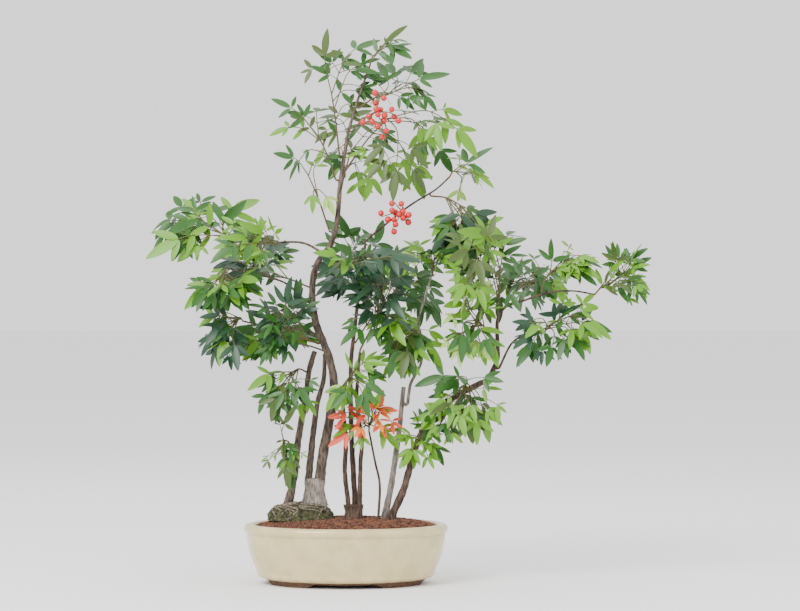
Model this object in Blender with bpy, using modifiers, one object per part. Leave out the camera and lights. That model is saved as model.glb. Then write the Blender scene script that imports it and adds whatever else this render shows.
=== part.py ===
"""A potted heavenly bamboo bonsai: oval pot, soil, a clump of canes, their boughs and its foliage.

Metres, +Z up, seen from the front along +Y. The tables below are in millimetres from the middle
of the pot, with z = 0 under its feet. The last step moves everything so that the middle of the
whole plant's box stands over the origin.
"""

import math
import random
from dataclasses import dataclass

import bmesh
import bpy
from mathutils import Matrix, Vector
from mathutils.bvhtree import BVHTree

MM = 0.001
SEED = 7
PLANT = "heavenly_bamboo_bonsai"

# Pot: half-lengths and heights. Its depth is a fixed share of its length.
POT_DEPTH_SHARE = 0.75
POT_STEPS = 36
POT_INSIDE = ((0, 15), (92, 15), (103, 20), (111, 40), (114.5, 66), (116, 73.8))
POT_OUTSIDE = (
    (122, 73.6), (126.5, 68), (126.3, 64.4), (123.6, 62.4), (123.2, 59.5), (119.4, 38),
    (113.2, 22.7), (109.2, 13), (109.2, 9.5), (101.5, 6.4),
)
RING_HALF_LENGTH = 99
RING_WIDTH = 14
RING_TOP = 6.05
FOOT_HEIGHT = 4.2
FRONT_CHANNEL = (38, 47)  # half-widths between the feet, at the top and at the ground
SIDE_CHANNEL = (18, 22)

# Soil, root mound and the two short feet that several canes share
SEAT = 0.35  # clearance between a piece and what carries it
SOIL_TOP = 78.5
SOIL_FLAT = 99
MOUND_CENTRE = (-56, 0)
MOUND_DEPTH_SHARE = 0.72
MOUND_SIDE = ((33, 96.3), (38.5, 92), (42, 86), (42.5, 80.5), (41, 78.85))
MOUND_LUMP = 1.6
TWIN_CENTRE = (-39, 0)
TWIN_DEPTH_SHARE = 0.62
TWIN_SIDE = ((13.4, 129), (12.6, 119), (13.6, 107), (17, 96.7))
STUMP_CENTRE = (9.5, 0)
STUMP_DEPTH_SHARE = 0.9
STUMP_SIDE = ((12.6, 96.4), (11, 91), (12, 84), (14, 78.85))

# Canes and boughs
LIMB_STEP = 15
LIMB_BEVEL = 1
FLARE_REACH = 14  # height over which a flared foot fades
UPRIGHT_FOOT = 3  # a cane's foot stands upright for this height, so that its cut is level
CANE_GREY = (0.30, 0.25, 0.20)
CANE_PALE = (0.47, 0.42, 0.36)
CANE_BROWN = (0.20, 0.14, 0.10)

# Foliage: the growth rule's sizes
STEM_RADIUS = 1.5
TWIG_RADIUS = 1.05
TWIG_STEP = 17
FROND_BOW = 0.16
NODE_SPACING = 27
BARE_SHARE = 0.42  # of a frond, from its fork
SIDE_LEAF_SHARE = 0.64
LEAF_WIDTH_SHARE = 0.42
LEAF_BROADEST = 0.36
LEAF_THICKNESS = 1.3
LEAF_DROOP = 0.28
LEAF_OVERSIZE = 1.12  # larger than life, so that fewer leaves fill the crown
LEAF_FACING = (0, -0.8, 0.6)  # the way most blades turn their upper side
CLEAR = 0.45  # left round every leaf and twig
REACH_BEYOND = 52  # how far a mass may spread past its frond ends
TRIES = 6
BERRY_RADIUS = 4.1
BERRY_SINK = 1.1
BERRIES_ON_TWIG = 4
BERRY_SPACING = 7.5
FUSE_TRIES = 8
NEARLY_MEETING = 4e-7

GREEN = (0.16, 0.36, 0.05)
BRIGHT = (0.38, 0.62, 0.06)
DEEP = (0.05, 0.22, 0.09)
OLIVE = (0.26, 0.28, 0.08)
CORAL = (0.72, 0.24, 0.12)
BERRY_RED = (0.60, 0.02, 0.02)


@dataclass
class Limb:
    """One tapering limb: its radii, the bends it runs through and the limb that carries it."""

    name: str
    base: float
    tip: float
    bends: tuple
    bark: tuple
    carrier: str = ""
    share: float = 1.0
    flare: float = 0.0


@dataclass
class Mass:
    """One foliage mass: the limb it leaves, where its stem forks and where its fronds end."""

    name: str
    limb: str
    share: float
    fork: tuple
    ends: tuple
    tint: tuple = GREEN
    leaf: float = 38
    pairs: int = 1
    berries: bool = False


@dataclass
class Course:
    """A limb's centre line with the radius at each point, in metres."""

    points: list
    radii: list

    def at(self, share):
        """Point, unit tangent and radius at a share of the length."""
        runs = [(b - a).length for a, b in zip(self.points, self.points[1:])]
        left = share * sum(runs)
        for index, run in enumerate(runs):
            if left <= run or index == len(runs) - 1:
                break
            left -= run
        t = min(1.0, left / run)
        a, b = self.points[index], self.points[index + 1]
        radius = self.radii[index] * (1 - t) + self.radii[index + 1] * t
        return a.lerp(b, t), (b - a).normalized(), radius


LIMBS = (
    Limb("trunk", 6.4, 2.4, (
        (-32.5, 0, 129.4), (-32, 0, 134), (-28.7, 0, 157), (-20, 0, 202), (-15, 0, 243), (-21.4, 0, 280),
        (-36.5, 0, 318), (-42, 0, 356), (-37, 0, 392), (-20.9, 0, 416), (-11.4, 0, 444), (-7, 0, 495),
        (1.2, 0, 549),
    ), CANE_GREY, flare=0.6),
    Limb("stem_left_outer", 5.2, 3.2, (
        (-72, 3, 96.7), (-69, 4, 108), (-64, 6, 135), (-59, 9, 180), (-50, 12, 230), (-46, 13, 262),
        (-39, 15, 286),
    ), CANE_GREY, flare=1.4),
    Limb("stem_left_inner", 4.6, 2.4, (
        (-46.5, 0, 129.4), (-45.5, 1, 136), (-42, 4, 174), (-36, 9, 220), (-28, 13, 252), (-27, 14, 283),
    ), CANE_GREY),
    Limb("stem_centre", 3.7, 1.7, (
        (11, 5, 96.8), (10.7, 5, 108), (8.5, 6, 145), (6, 8, 200), (5.9, 9, 270), (11, 11, 318),
        (16.5, 12, 368), (23.8, 12, 420),
    ), CANE_BROWN),
    Limb("stem_centre_left", 3.2, 2.5, (
        (3, -4, 96.8), (2, -5, 106), (-1.3, -8, 139), (0, -12, 177), (-3.4, -14, 215), (-1.6, -15, 236),
    ), CANE_BROWN),
    Limb("stem_centre_right", 3.0, 1.9, (
        (17, -4, 96.8), (17, -5, 108), (18.1, -6, 150), (19.6, -7, 178), (13.4, -7, 228), (17.3, -7, 285),
    ), CANE_BROWN),
    Limb("stem_pale", 4.2, 2.8, (
        (46.9, 6, 78.9), (49, 6, 87), (55, 7, 115), (60.6, 8, 151), (66, 8, 190), (71.2, 8, 242),
    ), CANE_PALE, flare=1.0),
    Limb("bough_pale", 2.2, 1.2, (
        (80, 3, 246), (92.8, 0, 272), (94, -2, 300), (89.5, -2, 323), (96.5, 0, 350), (106.4, 0, 381),
    ), CANE_PALE, carrier="stem_pale", share=0.88),
    Limb("stem_right", 4.7, 3.6, (
        (57.5, -7, 78.9), (58.5, -7, 87), (71, -7, 115), (80.6, -7, 148), (92, -7, 182), (112, -7, 214),
        (139.7, -7, 233), (168, -7, 248),
    ), CANE_BROWN, flare=1.0),
    Limb("bough_right", 3.5, 1.5, (
        (181.7, -7, 263), (187.5, -6, 280), (187, -5, 304), (188, -5, 327), (198, -6, 342), (217.8, -8, 348.6),
    ), CANE_BROWN, carrier="stem_right"),
    Limb("bough_right_far", 1.4, 1.0, (
        (250, -9, 359), (280, -10, 361), (304, -11, 357),
    ), CANE_BROWN, carrier="bough_right"),
    Limb("bough_right_low", 1.6, 1.0, (
        (203.7, -10, 295), (219.5, -14, 306), (242, -18, 310),
    ), CANE_BROWN, carrier="bough_right", share=0.22),
    Limb("stem_slender", 1.8, 1.2, (
        (39.5, -6, 78.9), (40.3, -6, 86), (41.7, -6, 122), (36, -7, 150), (29, -9, 186),
    ), CANE_BROWN),
    Limb("bough_left_upper", 1.6, 1.1, (
        (-57, -4, 421), (-104, -8, 420), (-141, -10, 422),
    ), CANE_GREY, carrier="trunk", share=0.66),
    Limb("bough_left_middle", 1.5, 1.1, (
        (-75.5, -8, 371), (-112.6, -13, 382), (-141, -15, 388),
    ), CANE_GREY, carrier="trunk", share=0.52),
    Limb("bough_left_low", 1.5, 1.1, (
        (-69, -4, 315), (-104, -6, 319), (-124, -8, 323),
    ), CANE_GREY, carrier="trunk", share=0.43),
    Limb("apex_stem", 2.1, 1.3, (
        (5, 0, 566), (12.4, 0, 591), (21, 0, 616), (28.5, 0, 637),
    ), CANE_GREY, carrier="trunk"),
    Limb("bough_right_upper", 1.5, 1.1, (
        (48, 10, 443), (79, 6, 467), (110, 2, 486), (126, -2, 500),
    ), CANE_BROWN, carrier="stem_centre"),
)

MASSES = (
    Mass("apex_left", "trunk", 0.95, (-18, -4, 606), ((-26, -8, 651), (11, 6, 661)), BRIGHT, 34),
    Mass("crown_right", "apex_stem", 1.0, (35, 2, 653), ((49, 0, 669), (58, -8, 661)), GREEN, 32, 0),
    Mass("crown_side", "apex_stem", 0.45, (52, -8, 603), ((90, -14, 622), (61, 26, 632)), BRIGHT),
    Mass("arching", "trunk", 0.92, (52, -4, 575), ((137, -12, 561), (97, 34, 560), (62, -26, 509)), GREEN),
    Mass("top_left", "trunk", 0.88, (-34, -12, 552), ((-67, -18, 586), (-37, 4, 583)), OLIVE, 28),
    Mass("standing", "trunk", 0.73, (-47, -6, 505), ((-64, -12, 525), (-27, -2, 527)), BRIGHT, 28, 0),
    Mass("top_back", "trunk", 0.85, (6, 52, 539), ((-15, 104, 583), (36, 104, 570)), GREEN),
    Mass("berries_upper", "apex_stem", 0.12, (37, -22, 581),
         ((25, -30, 566), (46, -28, 550), (66, -24, 572), (40, -20, 604)), BERRY_RED, berries=True),
    Mass("berries_low", "bough_right_upper", 0.5, (69, -22, 459),
         ((60, -28, 470), (78, -26, 446), (57, -34, 436), (44, -26, 452)), BERRY_RED, berries=True),
    Mass("right_fronds", "bough_right_upper", 1.0, (136, -8, 508), ((150, -10, 518), (144, 26, 497)), BRIGHT, 36),
    Mass("right_upper", "bough_right_upper", 0.78, (143, -22, 465), ((176, -34, 411), (130, -34, 440)), DEEP, 42),
    Mass("right_over", "bough_right", 0.62, (190, -20, 389),
         ((200, 0, 429), (172, -36, 430), (147, -72, 410)), GREEN),
    Mass("centre_upper", "trunk", 0.6, (6, -50, 394), ((9, -84, 407), (57, -92, 402)), DEEP, 36),
    Mass("centre_blue", "stem_centre", 0.62, (41, -30, 335), ((56, -46, 370), (26, -70, 355)), DEEP, 44),
    Mass("centre_right", "bough_pale", 1.0, (108, 2, 394), ((84, -12, 408), (129, 16, 404)), BRIGHT),
    Mass("centre_mid", "bough_pale", 0.5, (80, -16, 319), ((69, -34, 330), (98, -30, 298), (62, -44, 289)), GREEN),
    Mass("centre_low", "stem_centre_left", 1.0, (6, -38, 257),
         ((-6, -48, 242), (23, -56, 274), (21, -58, 237)), BRIGHT, 30, 0),
    Mass("centre_coral", "stem_slender", 1.0, (30, -14, 196), ((3, -26, 187), (47, -28, 189), (42, -30, 217)),
         CORAL, 30, 0),
    Mass("centre_back", "stem_centre_right", 1.0, (62, 60, 365), ((77, 104, 406), (105, 100, 350)), GREEN),
    Mass("centre_behind", "stem_centre", 0.75, (21, 60, 368), ((-7, 104, 404), (36, 96, 421)), DEEP),
    Mass("left_upper_front", "bough_left_upper", 0.5, (-85, -44, 417), ((-100, -66, 431), (-131, -84, 415)),
         BRIGHT, 34),
    Mass("left_end", "bough_left_upper", 1.0, (-150, -14, 429), ((-204, -28, 425), (-142, 8, 459)), DEEP, 46),
    Mass("left_mid", "bough_left_middle", 1.0, (-150, -22, 382), ((-167, -36, 368), (-128, -60, 376)), GREEN),
    Mass("left_dark", "bough_left_low", 1.0, (-133, -12, 325),
         ((-159, -22, 342), (-159, 4, 313), (-136, -34, 295)), DEEP, 34),
    Mass("left_inner", "trunk", 0.4, (-63, -24, 300), ((-92, -36, 291), (-72, -52, 345)), DEEP, 32),
    Mass("left_low", "stem_left_outer", 0.86, (-66, -12, 261),
         ((-93, -26, 259), (-85, -40, 230), (-55, -44, 242)), GREEN, 30),
    Mass("left_foot", "stem_left_outer", 0.36, (-77, -12, 177), ((-75, -32, 198), (-73, -34, 146)), OLIVE, 26, 0),
    Mass("left_back", "trunk", 0.56, (-103, 70, 380), ((-148, 112, 394), (-111, 122, 422)), DEEP),
    Mass("left_low_back", "stem_left_inner", 1.0, (-79, 60, 294), ((-124, 92, 294), (-74, 112, 322)), GREEN),
    Mass("right_mid", "bough_right", 0.48, (158, -30, 325),
         ((147, -44, 352), (142, -60, 308), (174, -52, 301)), BRIGHT, 36),
    Mass("right_back", "bough_right", 0.8, (228, 66, 372), ((256, 112, 391), (211, 124, 391)), GREEN),
    Mass("right_far_up", "bough_right_far", 0.3, (252, -8, 384), ((254, -10, 398), (285, -20, 394)), BRIGHT, 30, 0),
    Mass("right_tip", "bough_right_far", 1.0, (321, -14, 365), ((352, -14, 392), (350, -30, 366)), GREEN, 32),
    Mass("right_far_low", "bough_right_low", 1.0, (252, -20, 318),
         ((262, -40, 333), (290, -24, 323), (231, -38, 300)), DEEP, 36),
    Mass("right_low", "stem_right", 0.84, (150, -34, 247), ((121, -42, 257), (141, -60, 257), (168, -36, 213)),
         GREEN, 36),
    Mass("low_right", "stem_right", 0.44, (95, -20, 182), ((101, -33, 197), (81, -35, 168), (111, -13, 171)),
         BRIGHT, 30, 0),
)


def clear_scene():
    """Empties the scene that the script starts in."""
    for obj in list(bpy.data.objects):
        bpy.data.objects.remove(obj, do_unlink=True)


def new_collection(name):
    """A collection in the scene."""
    made = bpy.data.collections.new(name)
    bpy.context.scene.collection.children.link(made)
    return made


def material(name, colour, roughness):
    """A Principled material, made once for each name."""
    found = bpy.data.materials.get(name)
    if found:
        return found
    made = bpy.data.materials.new(name)
    made.use_nodes = True
    shader = made.node_tree.nodes["Principled BSDF"]
    shader.inputs["Base Color"].default_value = (*colour, 1)
    shader.inputs["Roughness"].default_value = roughness
    shader.inputs["Metallic"].default_value = 0
    made.diffuse_color = (*colour, 1)
    return made


def place(point):
    """A table's millimetres as metres."""
    return Vector(point) * MM


def object_of(mesh, name, collection):
    """An object for the mesh, in the collection."""
    obj = bpy.data.objects.new(name, mesh)
    collection.objects.link(obj)
    return obj


def evaluated_mesh(obj):
    """The object's mesh as its modifiers and curve settings leave it."""
    bpy.context.view_layer.update()
    graph = bpy.context.evaluated_depsgraph_get()
    return bpy.data.meshes.new_from_object(obj.evaluated_get(graph))


def bake(obj, name, collection):
    """Turns a curve or a modified object into a plain welded mesh object."""
    mesh = evaluated_mesh(obj)
    mesh.name = name
    shape = bmesh.new()
    shape.from_mesh(mesh)
    bmesh.ops.remove_doubles(shape, verts=shape.verts, dist=1e-6)
    bmesh.ops.recalc_face_normals(shape, faces=shape.faces)
    shape.to_mesh(mesh)
    shape.free()
    made = object_of(mesh, name, collection)
    made.matrix_world = obj.matrix_world
    bpy.data.objects.remove(obj, do_unlink=True)
    return made


def finish(obj, surface, smooth_below=50):
    """Gives the object its material and smooth shading with sharp edges kept."""
    obj.data.materials.clear()
    obj.data.materials.append(surface)
    obj.data.shade_smooth()
    obj.data.set_sharp_from_angle(angle=math.radians(smooth_below))


def turned(name, profile, collection, centre=(0, 0), depth_share=1.0, steps=POT_STEPS):
    """An oval turned solid: the profile spun round the upright axis, then narrowed in depth."""
    mesh = bpy.data.meshes.new(name)
    points = [(r * MM, 0, z * MM) for r, z in profile]
    mesh.from_pydata(points, [(i, i + 1) for i in range(len(points) - 1)], [])
    guide = object_of(mesh, name + "_profile", collection)
    screw = guide.modifiers.new("turn", "SCREW")
    screw.angle = 2 * math.pi
    screw.steps = steps
    screw.render_steps = steps
    screw.use_merge_vertices = True
    screw.merge_threshold = 1e-5
    made = bake(guide, name, collection)
    made.data.transform(Matrix.Diagonal((1, depth_share, 1, 1)))
    made.data.transform(Matrix.Translation(place((*centre, 0))))
    return made


def cut(obj, cutters):
    """Subtracts each cutter from the object and applies the result."""
    for cutter in cutters:
        cutter.hide_render = True
        cutter.display_type = "WIRE"
        boolean = obj.modifiers.new("cut_" + cutter.name, "BOOLEAN")
        boolean.operation = "DIFFERENCE"
        boolean.object = cutter
    mesh = evaluated_mesh(obj)
    obj.modifiers.clear()
    obj.data = mesh


def channel(name, half_top, half_ground, height, half_run, collection):
    """A long cutter that narrows upwards, along Y, standing on the ground plane."""
    shape = bmesh.new()
    bmesh.ops.create_cube(shape, size=2)
    for vert in shape.verts:
        half = half_top if vert.co.z > 0 else half_ground + (half_ground - half_top) / height
        vert.co.x *= half * MM
        vert.co.y *= half_run * MM
        vert.co.z = height * MM if vert.co.z > 0 else -MM
    mesh = bpy.data.meshes.new(name)
    shape.to_mesh(mesh)
    shape.free()
    return object_of(mesh, name, collection)


def build_pot(parts):
    """The glazed oval pot as one shell."""
    profile = POT_INSIDE + POT_OUTSIDE + ((0, POT_OUTSIDE[-1][1]),)
    pot = turned("pot", profile, parts, depth_share=POT_DEPTH_SHARE)
    finish(pot, material("cream_glaze", (0.85, 0.80, 0.62), 0.25))


def build_foot_ring(parts, cutters):
    """The unglazed base under the pot, cut into four curved feet."""
    profile = ((0, RING_TOP), (RING_HALF_LENGTH, RING_TOP), (RING_HALF_LENGTH - 3, 0), (0, 0))
    ring = turned("foot_ring", profile, parts, depth_share=POT_DEPTH_SHARE)
    run = RING_HALF_LENGTH + 10
    front = channel("front_channel", *FRONT_CHANNEL, FOOT_HEIGHT, run, cutters)
    side = channel("side_channel", *SIDE_CHANNEL, FOOT_HEIGHT, run, cutters)
    side.data.transform(Matrix.Rotation(math.pi / 2, 4, "Z"))
    inner = RING_HALF_LENGTH - RING_WIDTH
    middle = turned("foot_hollow", ((0, FOOT_HEIGHT), (inner, FOOT_HEIGHT), (inner, -1), (0, -1)), cutters,
                    depth_share=POT_DEPTH_SHARE)
    cut(ring, (front, side, middle))
    finish(ring, material("bare_clay", (0.24, 0.15, 0.10), 0.8), 30)


def build_soil(parts):
    """The filled inside of the pot, level where the canes stand."""
    wall = tuple((r - 0.5, z + SEAT) for r, z in POT_INSIDE[1:-1])
    profile = ((0, SOIL_TOP), (SOIL_FLAT, SOIL_TOP), (108, 76), (113.6, 71)) + tuple(reversed(wall))
    soil = turned("soil", profile + ((0, wall[0][1]),), parts, depth_share=POT_DEPTH_SHARE)
    finish(soil, material("soil_grains", (0.27, 0.15, 0.10), 0.95))


def lumpy(obj, low, high, amount, seed):
    """Pushes the side points between two heights in and out by a seeded amount."""
    rng = random.Random(seed)
    centre = sum((v.co for v in obj.data.vertices), Vector()) / len(obj.data.vertices)
    for vert in obj.data.vertices:
        if not low < vert.co.z < high:
            continue
        out = Vector((vert.co.x - centre.x, vert.co.y - centre.y, 0)).normalized()
        vert.co += out * rng.uniform(-amount, amount)


def standing_block(name, side, centre, depth_share, surface, parts, lump):
    """A short oval block with a flat top and underside and a lumpy side."""
    profile = ((0, side[0][1]),) + side + ((0, side[-1][1]),)
    block = turned(name, profile, parts, centre, depth_share, 18)
    lumpy(block, (side[-1][1] + 0.5) * MM, (side[0][1] - 0.5) * MM, lump * MM, SEED)
    finish(block, surface, 70)


def build_bases(parts):
    """The mossy root mound and the feet shared by the left and the centre canes."""
    moss = material("mossy_roots", (0.16, 0.17, 0.09), 0.95)
    bark = material("foot_bark", CANE_PALE, 0.85)
    dark = material("dark_bark", CANE_BROWN, 0.85)
    standing_block("root_mound", MOUND_SIDE, MOUND_CENTRE, MOUND_DEPTH_SHARE, moss, parts, MOUND_LUMP)
    standing_block("twin_foot", TWIN_SIDE, TWIN_CENTRE, TWIN_DEPTH_SHARE, bark, parts, 1.1)
    standing_block("centre_foot", STUMP_SIDE, STUMP_CENTRE, STUMP_DEPTH_SHARE, dark, parts, 0.9)


def smooth_line(bends, step):
    """Points about one step apart on a smooth curve through the bends."""
    ends = [bends[0], *bends, bends[-1]]
    line = []
    for index in range(1, len(ends) - 2):
        a, b, c, d = ends[index - 1:index + 3]
        count = max(1, round((c - b).length / step))
        for part in range(count):
            t = part / count
            line.append(0.5 * (2 * b + (c - a) * t + (2 * a - 5 * b + 4 * c - d) * t * t
                               + (3 * b - a - 3 * c + d) * t ** 3))
    line.append(bends[-1])
    return line


def leave(course, share, toward, radius):
    """The first two points of a shoot that leaves a limb: square to its side, or on from its tip."""
    point, tangent, thick = course.at(share)
    if share >= 1:
        away = tangent
        start = point + away * SEAT * MM
    else:
        side = toward - point
        away = (side - tangent * side.dot(tangent)).normalized()
        start = point + away * (thick + SEAT * MM)
    return [start, start + away * max(2.2 * radius, 3 * MM)]


def tube(name, points, radii, collection, section=None):
    """A closed tapering tube: six-sided, or with a section curve's own sides."""
    curve = bpy.data.curves.new(name, "CURVE")
    curve.dimensions = "3D"
    curve.use_fill_caps = True
    if section:
        curve.bevel_mode = "OBJECT"
        curve.bevel_object = section
    else:
        curve.bevel_depth = 1
        curve.bevel_resolution = LIMB_BEVEL
    spline = curve.splines.new("POLY")
    spline.points.add(len(points) - 1)
    for knot, point, radius in zip(spline.points, points, radii):
        knot.co = (*point, 1)
        knot.radius = radius
    return bake(object_of(curve, name + "_line", collection), name, collection)


def tapered(points, base, tip, flare=0.0):
    """A radius for each point, from base to tip, widened near the foot."""
    reached = [0.0]
    for a, b in zip(points, points[1:]):
        reached.append(reached[-1] + (b - a).length)
    return [
        (base + (tip - base) * run / reached[-1] + flare * math.exp(-run / (FLARE_REACH * MM))) * MM
        for run in reached
    ]


def build_limbs(parts):
    """Every cane and bough, each from its foot or its carrier. Returns objects and courses by name."""
    courses = {}
    made = {}
    for limb in LIMBS:
        bends = [place(bend) for bend in limb.bends]
        if limb.carrier:
            bends = leave(courses[limb.carrier], limb.share, bends[0], limb.base * MM) + bends
        else:
            bends.insert(1, bends[0] + Vector((0, 0, UPRIGHT_FOOT * MM)))
        points = smooth_line(bends, LIMB_STEP * MM)
        radii = tapered(points, limb.base, limb.tip, limb.flare)
        courses[limb.name] = Course(points, radii)
        made[limb.name] = tube(limb.name, points, radii, parts)
        tone = {CANE_GREY: "grey_bark", CANE_PALE: "pale_bark", CANE_BROWN: "brown_bark"}[limb.bark]
        finish(made[limb.name], material(tone, limb.bark, 0.85), 60)
    return made, courses


class Space:
    """The room already taken, as search trees with their boxes and owners."""

    def __init__(self):
        """Starts with nothing taken."""
        self.taken = []

    @staticmethod
    def tree_of(mesh):
        """A search tree of the mesh with the corners of its box."""
        corners = [v.co.copy() for v in mesh.vertices]
        low = Vector(min(c[i] for c in corners) for i in range(3))
        high = Vector(max(c[i] for c in corners) for i in range(3))
        tree = BVHTree.FromPolygons(corners, [tuple(p.vertices) for p in mesh.polygons])
        return tree, low, high

    def add(self, mesh, owner):
        """Records a mesh as taken by its owner."""
        self.taken.append((*self.tree_of(mesh), owner))

    def free(self, mesh, excused):
        """Whether the mesh crosses nothing except what the excused owners hold."""
        tree, low, high = self.tree_of(mesh)
        for other, other_low, other_high, owner in self.taken:
            if owner in excused:
                continue
            if any(low[i] > other_high[i] or high[i] < other_low[i] for i in range(3)):
                continue
            if tree.overlap(other):
                return False
        return True


def discard(*objects):
    """Removes objects with their meshes."""
    for obj in objects:
        mesh = obj.data
        bpy.data.objects.remove(obj, do_unlink=True)
        bpy.data.meshes.remove(mesh)


def moved_sphere(name, rings, segments, shape, collection):
    """A small sphere whose points are moved by the function given, as an object."""
    ball = bmesh.new()
    bmesh.ops.create_uvsphere(ball, u_segments=segments, v_segments=rings, radius=1)
    for vert in ball.verts:
        vert.co = shape(vert.co)
    bmesh.ops.recalc_face_normals(ball, faces=ball.faces)
    mesh = bpy.data.meshes.new(name)
    ball.to_mesh(mesh)
    ball.free()
    return object_of(mesh, name, collection)


def leaf_blade(name, root, along, upward, length, swell, collection):
    """A pointed flat leaf of eight faces, broadest nearer its root; swell thickens a test copy."""
    across = along.cross(upward).normalized()
    normal = across.cross(along).normalized()
    half_width = length * LEAF_WIDTH_SHARE / 2 + swell
    half_thick = LEAF_THICKNESS * MM / 2 + swell

    def shape(point):
        if abs(point.z) > 0.5:
            return root + along * (length + swell if point.z > 0 else -swell)
        middle = root + along * length * LEAF_BROADEST
        return middle + across * point.x * half_width + normal * point.y * half_thick

    return moved_sphere(name, 2, 4, shape, collection)


def berry(name, centre, swell, collection):
    """A small round fruit."""
    radius = BERRY_RADIUS * MM + swell
    return moved_sphere(name, 3, 5, lambda point: centre + point * radius, collection)


def three_sided_section(collection):
    """The outline that twigs are swept along: an equal-sided triangle."""
    curve = bpy.data.curves.new("twig_section", "CURVE")
    curve.dimensions = "2D"
    spline = curve.splines.new("POLY")
    spline.points.add(2)
    for index, knot in enumerate(spline.points):
        turn = 2 * math.pi * index / 3
        knot.co = (math.cos(turn), math.sin(turn), 0, 1)
    spline.use_cyclic_u = True
    section = object_of(curve, "twig_section", collection)
    section.hide_render = True
    return section


class Grower:
    """Grows one foliage mass by the seeded rule and fuses it into one solid."""

    def __init__(self, mass, courses, space, section, parts):
        """Takes the mass, the limbs' courses, the room taken and where to put the solid."""
        self.mass = mass
        self.course = courses[mass.limb]
        self.space = space
        self.section = section
        self.parts = parts
        self.rng = random.Random(f"{SEED} {mass.name}")
        self.pieces = []
        self.fronds = []
        self.count = 0
        reach = [place(mass.fork), *(place(end) for end in mass.ends)]
        margin = Vector((REACH_BEYOND * MM,) * 3)
        self.low = Vector(min(p[i] for p in reach) for i in range(3)) - margin
        self.high = Vector(max(p[i] for p in reach) for i in range(3)) + margin

    def label(self):
        """A name for the next piece."""
        self.count += 1
        return f"{self.mass.name}_{self.count}"

    def inside(self, mesh):
        """Whether every point lies in the mass's own box."""
        return all(self.low[i] <= v.co[i] <= self.high[i] for v in mesh.vertices for i in range(3))

    def keep(self, obj, owner):
        """Takes a piece into the mass and its room."""
        self.pieces.append(obj)
        self.space.add(obj.data, owner)

    def twig(self, points, base, tip, owner, excused):
        """A tapering twig along the points, kept where it crosses nothing."""
        label = self.label()
        radii = tapered(points, base, tip)
        fat = tube(label + "_test", points[1:], [r + CLEAR * MM for r in radii[1:]], self.parts, self.section)
        clear = self.space.free(fat.data, excused)
        discard(fat)
        if not clear:
            return None
        made = tube(label, points, radii, self.parts, self.section)
        self.keep(made, owner)
        return made

    def grow_stem(self):
        """The mass's one stem, from its limb to where its fronds part."""
        fork = place(self.mass.fork)
        start = leave(self.course, self.mass.share, fork, STEM_RADIUS * MM)
        limb_owner = ("limb", self.mass.limb)
        self.own = (self.mass.name, "stem")
        for attempt in range(TRIES):
            jitter = Vector(self.rng.uniform(-1, 1) for _ in range(3)) * attempt * 3 * MM
            middle = (start[1] + fork) / 2 + jitter + Vector((0, 0, 4 * MM))
            points = smooth_line([*start, middle, fork], TWIG_STEP * MM)
            if self.twig(points, STEM_RADIUS, TWIG_RADIUS + 0.25, self.own, {limb_owner}):
                self.stem = Course(points, tapered(points, STEM_RADIUS, TWIG_RADIUS))
                return True
        return False

    def grow_frond(self, index, end):
        """One frond: a bowed twig from the stem's fork to its end."""
        fork, tangent, _ = self.stem.at(0.98)
        owner = (self.mass.name, index)
        excused = {self.own, owner} | {(self.mass.name, other) for other in range(len(self.mass.ends))}
        for attempt in range(TRIES):
            run = end - fork
            sway = Vector(self.rng.uniform(-1, 1) for _ in range(3)) * run.length * 0.12 * (attempt + 0.4)
            bow = tangent * run.length * FROND_BOW + Vector((0, 0, 0.06 * run.length)) + sway
            middle = fork + run * 0.5 + bow
            points = smooth_line([fork, middle, end], TWIG_STEP * MM)
            if self.twig(points, TWIG_RADIUS + 0.1, TWIG_RADIUS - 0.15, owner, excused):
                self.fronds.append((owner, Course(points, [TWIG_RADIUS * MM] * len(points))))
                return

    def grow_twigs(self):
        """The stem and its fronds."""
        if not self.grow_stem():
            print("no room for the stem of", self.mass.name)
            return
        for index, end in enumerate(self.mass.ends):
            self.grow_frond(index, place(end))

    def add_leaf(self, node, along, upward, length, owner):
        """One leaf at a node, turned a little until it has room, or left out."""
        excused = {owner, (self.mass.name, "node", tuple(node))}
        for attempt in range(TRIES):
            wobble = Vector(self.rng.uniform(-1, 1) for _ in range(3)) * (0.12 + 0.14 * attempt)
            droop = Vector((0, 0, -LEAF_DROOP * self.rng.uniform(0.5, 1.4)))
            direction = (along + wobble + droop).normalized()
            lift = (upward + wobble * 1.5).normalized()
            size = length * LEAF_OVERSIZE * self.rng.uniform(0.88, 1.1) * MM * (1 - 0.05 * attempt)
            label = self.label()
            test = leaf_blade(label + "_test", node, direction, lift, size, CLEAR * MM, self.parts)
            clear = self.inside(test.data) and self.space.free(test.data, excused)
            discard(test)
            if clear:
                blade = leaf_blade(label, node, direction, lift, size, 0, self.parts)
                self.keep(blade, (self.mass.name, "node", tuple(node)))
                return

    def leaf_node(self, course, share, owner, terminal):
        """A pair of side leaves at one node, with a longer leaf between them at the frond's end."""
        node, along, _ = course.at(share)
        up = Vector(LEAF_FACING) + Vector(self.rng.uniform(-0.4, 0.4) for _ in range(3))
        side = along.cross(up).normalized()
        upward = side.cross(along).normalized()
        spread = math.radians(self.rng.uniform(52, 68))
        if terminal:
            self.add_leaf(node, along, upward, self.mass.leaf, owner)
        for way in (-1, 1):
            aim = along * math.cos(spread) + side * way * math.sin(spread)
            self.add_leaf(node, aim, upward, self.mass.leaf * SIDE_LEAF_SHARE, owner)

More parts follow.
